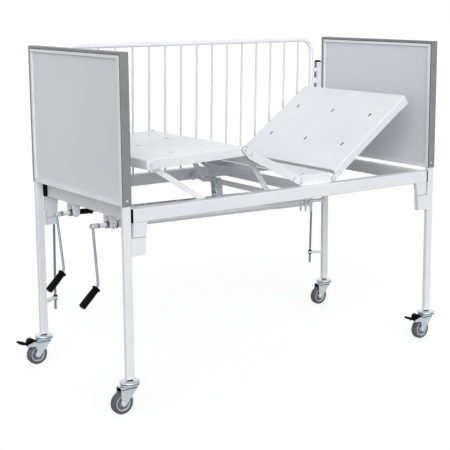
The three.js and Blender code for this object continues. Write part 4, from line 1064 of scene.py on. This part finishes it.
def make_thigh_tray():
    make_tray("thigh_tray", "thigh", THIGH_PLACE, -EDGE_CLEAR, KNEE_X + 2, LOW_PIVOT, thigh_low, False,
              THIGH_SLOTS)
    fittings = Piece("thigh_tray_fittings")
    add_lugs(fittings, THIGH_PLACE, 0, 0, -LUG_L)
    add_lugs(fittings, THIGH_PLACE, KNEE_X, KNEE_Z, LUG_L)
    add_slot_rims(fittings, THIGH_PLACE, THIGH_SLOTS, LOW_PIVOT)
    for side in SIDES:
        for wall in TRACK_WALLS:
            y = side * ARM_Y + wall
            fittings.add(prism(TRACK, y, y + TRACK_T), WHITE, THIGH_PLACE @ ON_SIDE)
    fittings.finish("thigh", edge=0.5)


# Leg tray, with the studs of the straps
LEG_SLOTS = [(-85, -170), (-85, 75)] + [(-262, y) for y in SLOTS_ACROSS]
LEG_FLANGE_H = 35
STUD_X = 14 - LEG_L
STUD_Z = -6
STRAP_STUD = [(0, 0), (3.7, 0), (3.7, 25), (6, 25.2), (6, 28), (0, 28)]


def make_leg_tray():
    make_tray("leg_tray", "shin", SHIN_PLACE, -2, -LEG_L, KNEE_PIVOT, lambda x: KNEE_PIVOT - LEG_FLANGE_H,
              True, LEG_SLOTS)
    fittings = Piece("leg_tray_fittings")
    add_inner_lugs(fittings, SHIN_PLACE, 0, -INNER_LUG_L, 8)
    add_slot_rims(fittings, SHIN_PLACE, LEG_SLOTS, KNEE_PIVOT)
    for side in SIDES:
        add_bolt(fittings, SHIN_PLACE, STUD_X, STUD_Z, side, FLANGE_Y)
        stud = SHIN_PLACE @ move(STUD_X, side * FLANGE_Y, STUD_Z) @ facing((0, -side, 0))
        fittings.add(lathe(STRAP_STUD, 18), PALE, stud)
    fittings.finish("shin", edge=0.5)


# Seat tray, with its cross bar between the side rails
SEAT_SLOTS = [(40, y) for y in (-290, 0, 290)]
SEAT_LOW = RAIL_TOP + 0.3 - HINGE_Z
SEAT_HALF = FLANGE_Y - 1
SEAT_BAR_H = 38
SEAT_BAR_HALF = WIDTH / 2 - RAIL_W - 0.3
SEAT_BAR_X = 6
SEAT_BAR_T = 2
SEAT_BAR_LIP = 12
SEAT_BAR = [
    (-SEAT_BAR_HALF, -SEAT_BAR_H), (SEAT_BAR_HALF, -SEAT_BAR_H), (SEAT_BAR_HALF, SEAT_LOW),
    (SEAT_HALF, SEAT_LOW), (SEAT_HALF, 0), (-SEAT_HALF, 0), (-SEAT_HALF, SEAT_LOW),
    (-SEAT_BAR_HALF, SEAT_LOW),
]


def make_seat_tray():
    make_tray("seat_tray", "frame", SEAT_PLACE, 2, SEAT_L - EDGE_CLEAR, LOW_PIVOT, lambda x: SEAT_LOW, False,
              SEAT_SLOTS)
    fittings = Piece("seat_tray_fittings")
    add_inner_lugs(fittings, SEAT_PLACE, 0, INNER_LUG_L, 4)
    add_inner_lugs(fittings, SEAT_PLACE, SEAT_L, -INNER_LUG_L, 4)
    add_slot_rims(fittings, SEAT_PLACE, SEAT_SLOTS, LOW_PIVOT)
    fittings.add(prism(SEAT_BAR, SEAT_BAR_X, SEAT_BAR_X + SEAT_BAR_T), WHITE, SEAT_PLACE @ ON_END)
    lip = box_outline(SEAT_BAR_X, SEAT_BAR_X + SEAT_BAR_LIP, -SEAT_BAR_HALF, SEAT_BAR_HALF)
    fittings.add(prism(lip, -SEAT_BAR_H - SEAT_BAR_T, -SEAT_BAR_H), WHITE, SEAT_PLACE)
    fittings.finish("frame", edge=0.5)


# Rock shaft, with two roller arms and the fork that the knee nut pushes
ROCK_X = -30
ROCK_Z = 697
ROCK_R = 11
ROCK_HALF = WIDTH / 2 - RAIL_W - 12
ARM_TIP = (-100.8, 151.6)
ARM_PLATE = capsule(0, 0, *ARM_TIP, 10.5)
ARM_T = 3
ARM_COLLAR = [(0, -9), (13.5, -9), (15, -7.6), (15, 7.6), (13.5, 9), (0, 9)]
ARM_ROLLER = [(0, -8), (7.2, -8), (8, -7), (8, 7), (7.2, 8), (0, 8)]
ROCK_FLANGE = [(0, 0), (19, 0), (19, 2.6), (18, 3.4), (0, 3.4)]
ROCK_FLANGE_OUT = 6
YOKE_LEAN = 5
YOKE_HALF = 17
YOKE_SLOT = 8
YOKE_REACH = ROCK_Z - drive_z(ROCK_X)
YOKE_ROOT = YOKE_REACH - 12
YOKE_END = YOKE_REACH + 40
YOKE_PLATES = ((14, 18), (-18, -14))


def yoke_point(r, offset):
    """A point of the leaning yoke, at a distance down from the shaft and off its middle line."""
    turned = spin(-YOKE_LEAN, "Y") @ Vector((offset, 0, -r))
    return turned.x, turned.z


def make_rock_shaft():
    place = move(ROCK_X, 0, ROCK_Z)
    rock = Piece("rock_shaft_lift")
    rock.add(tube([(0, -ROCK_HALF, 0), (0, ROCK_HALF, 0)], ROCK_R, 28), WHITE, place)
    for side in SIDES:
        y = side * ARM_Y
        rock.add(prism(ARM_PLATE, y - ARM_T, y + ARM_T), WHITE, place @ ON_SIDE)
        rock.add(lathe(ARM_COLLAR, 28), WHITE, place @ move(0, y, 0) @ facing((0, 1, 0)))
        tip = place @ move(ARM_TIP[0], y, ARM_TIP[1])
        rock.add(lathe(ARM_ROLLER, 24), ZINC, tip @ facing((0, 1, 0)))
        end = place @ move(0, side * (ROCK_HALF + ROCK_FLANGE_OUT), 0)
        rock.add(lathe(ROCK_FLANGE, 32), ZINC, end @ facing((0, side, 0)))
    yoke = [
        *polar(0, 0, YOKE_HALF, 180 + YOKE_LEAN, YOKE_LEAN, 14),
        yoke_point(YOKE_END, YOKE_HALF), yoke_point(YOKE_END, YOKE_SLOT), yoke_point(YOKE_ROOT, YOKE_SLOT),
        yoke_point(YOKE_ROOT, -YOKE_SLOT), yoke_point(YOKE_END, -YOKE_SLOT),
        yoke_point(YOKE_END, -YOKE_HALF),
    ]
    for near, far in YOKE_PLATES:
        rock.add(prism(yoke, KNEE_Y + near, KNEE_Y + far), ZINC, place @ ON_SIDE)
    rock.finish("rock", "rock_shaft", edge=0.6)


# Facing plates of the wedge pockets, with a dark line of painted shadow along their top, and on their inner
# faces a flange, a grey band of painted shade beside it and a seam
WEDGE_Y = WIDTH / 2 - 2
WEDGE_IN = WEDGE_Y - 20
WEDGE_BITE = 0.2
LINE_W = 1.6
LINE_RISE = 0.3
POCKET_X = LENGTH / 2 - 30
POCKET_TOP = 626.4
POCKET_LOW = 563.4
POCKET_SEAM = 592
POCKET_REACH = 58.7
POCKET_TAPER = 5
POCKET_FLANGE = 9
POCKET_STEPS = (0.4, POCKET_FLANGE, POCKET_FLANGE + LINE_W, POCKET_REACH - POCKET_TAPER, POCKET_REACH)


def make_pocket_plates():
    plates = Piece("wedge_pocket_plates")
    for end in SIDES:
        root, flange, line, slope, tip = [end * (POCKET_X - d) for d in POCKET_STEPS]
        plate = [(root, POCKET_TOP), (tip, POCKET_TOP), (slope, POCKET_LOW), (root, POCKET_LOW)]
        # A dark line of painted shadow along the plate's top, and a grey band of painted shade beside the
        # inner flange
        shadow_line = box_outline(root, tip, POCKET_TOP, POCKET_TOP + LINE_W)
        strip = box_outline(root, flange, POCKET_LOW, POCKET_TOP)
        shade = box_outline(flange, line, POCKET_LOW, POCKET_TOP)
        seam = box_outline(line, slope, POCKET_SEAM, POCKET_SEAM + LINE_W)
        layers = [
            (plate, WEDGE_Y - WEDGE_BITE, WEDGE_Y + 2, WHITE),
            (shadow_line, WEDGE_Y - WEDGE_BITE, WEDGE_Y + LINE_RISE, PAINTED_SHADE),
            (strip, WEDGE_IN + WEDGE_BITE, WEDGE_IN - 1.6, WHITE),
            (shade, WEDGE_IN + WEDGE_BITE, WEDGE_IN - LINE_RISE, TRIM),
            (seam, WEDGE_IN + WEDGE_BITE, WEDGE_IN - LINE_RISE, TRIM),
        ]
        for side in SIDES:
            for outline, near, far, material in layers:
                plates.add_plate(outline, side, near, far, material)
    plates.finish("frame", edge=0.2)


# End panels
PANELS = (("foot", -1), ("head", 1))
PANEL_Z = 740
PANEL_X = LENGTH / 2 - 15
PANEL_TOP = 1268
LOWER_RAIL_H = 17
LOWER_RAIL_HALF = WIDTH / 2 - 20.3
LOWER_RAIL = [
    (-15, 0), (15, 0), (15, 6.6), (13.4, 7.4), (13.4, 8.6), (15, 9.4), (15, LOWER_RAIL_H),
    (-15, LOWER_RAIL_H), (-15, 9.4), (-13.4, 8.6), (-13.4, 7.4), (-15, 6.6),
]
LIP_FACE = 16.8
TRIM_HALF = WIDTH / 2 + 1.8
# The beading's distances in from the channel's outline: at the front edge, the top and the drop side
BEAD_NEAR = (4.2, 11.5, 15.8)
BEAD_FAR = (20, 21.8, 20.3)
# The dark layer is a strip of painted shade standing in for the shadow gap between the channel and the white
# beading
SHADOW_LINE_NEAR = (0.6, 8.6, 15.2)
BEAD_LAYERS = [(SHADOW_LINE_NEAR, BEAD_NEAR, 0.5, PAINTED_SHADE), (BEAD_NEAR, BEAD_FAR, 0.9, WHITE)]
SCREW_UP = 20
SCREW_HEAD = [(0, 0), (4.6, 0), (4.4, 0.8), (3.4, 1.7), (1.6, 2.2), (0, 2.3)]
# A black cross of painted shade standing in for the head's cross recess
SCREW_RECESS_SHADE = prism(box_outline(-2.4, 2.4, -0.45, 0.45), 1.9, 2.5)


def channel_band(near, far):
    """A band round three edges of a panel, between two sets of distances in from its outline."""
    front, top, rear = near
    inner_front, inner_top, inner_rear = far
    return [
        (front - TRIM_HALF, PANEL_Z), (inner_front - TRIM_HALF, PANEL_Z),
        (inner_front - TRIM_HALF, PANEL_TOP - inner_top), (TRIM_HALF - inner_rear, PANEL_TOP - inner_top),
        (TRIM_HALF - inner_rear, PANEL_Z), (TRIM_HALF - rear, PANEL_Z),
        (TRIM_HALF - rear, PANEL_TOP - top), (front - TRIM_HALF, PANEL_TOP - top),
    ]


def make_panel_parts(name, end):
    x = end * PANEL_X
    rail = Piece(f"{name}_grooved_rail")
    rail.add(prism(LOWER_RAIL, -LOWER_RAIL_HALF, LOWER_RAIL_HALF), WHITE, move(x, 0, PANEL_Z) @ ON_SIDE)
    rail.finish("frame", f"{name}_lower_rail", edge=0.6)
    beading = Piece(f"{name}_trim_beading")
    for side in SIDES:
        for near, far, rise, material in BEAD_LAYERS:
            low, high = sorted((side * LIP_FACE, side * (LIP_FACE + rise)))
            beading.add(prism(channel_band(near, far), low, high), material, move(x, 0, 0) @ ON_END)
    beading.finish("frame")
    screws = Piece(f"{name}_trim_screws")
    for side in SIDES:
        head = move(x, side * TRIM_HALF, PANEL_Z + SCREW_UP) @ facing((0, side, 0))
        screws.add(lathe(SCREW_HEAD, 24), PALE, head)
        for turn in (45, 135):
            screws.add(SCREW_RECESS_SHADE, BLACK, head @ spin(turn, "Z"))
    screws.finish("frame")


for caster_name, caster_x, caster_y, caster_braked in CASTERS:
    make_wheel(caster_name, caster_x, caster_y)
    make_fork(caster_name, caster_x, caster_y, caster_braked)
    if caster_braked:
        make_pedal(caster_name, caster_x, caster_y)
for drive in DRIVES:
    make_crank(*drive)
make_cover()
for drive in DRIVES:
    make_bearing(*drive[:2])
make_guard()
make_rod_fittings()
make_back_tray()
make_thigh_tray()
make_leg_tray()
make_seat_tray()
make_rock_shaft()
make_pocket_plates()
for panel in PANELS:
    make_panel_parts(*panel)
for node_name, node_object in NODES.items():
    finish_node(node_name, node_object)

make_camera()
make_world()
make_suns()
make_floor()
bpy.context.scene.view_settings.view_transform = "Standard"
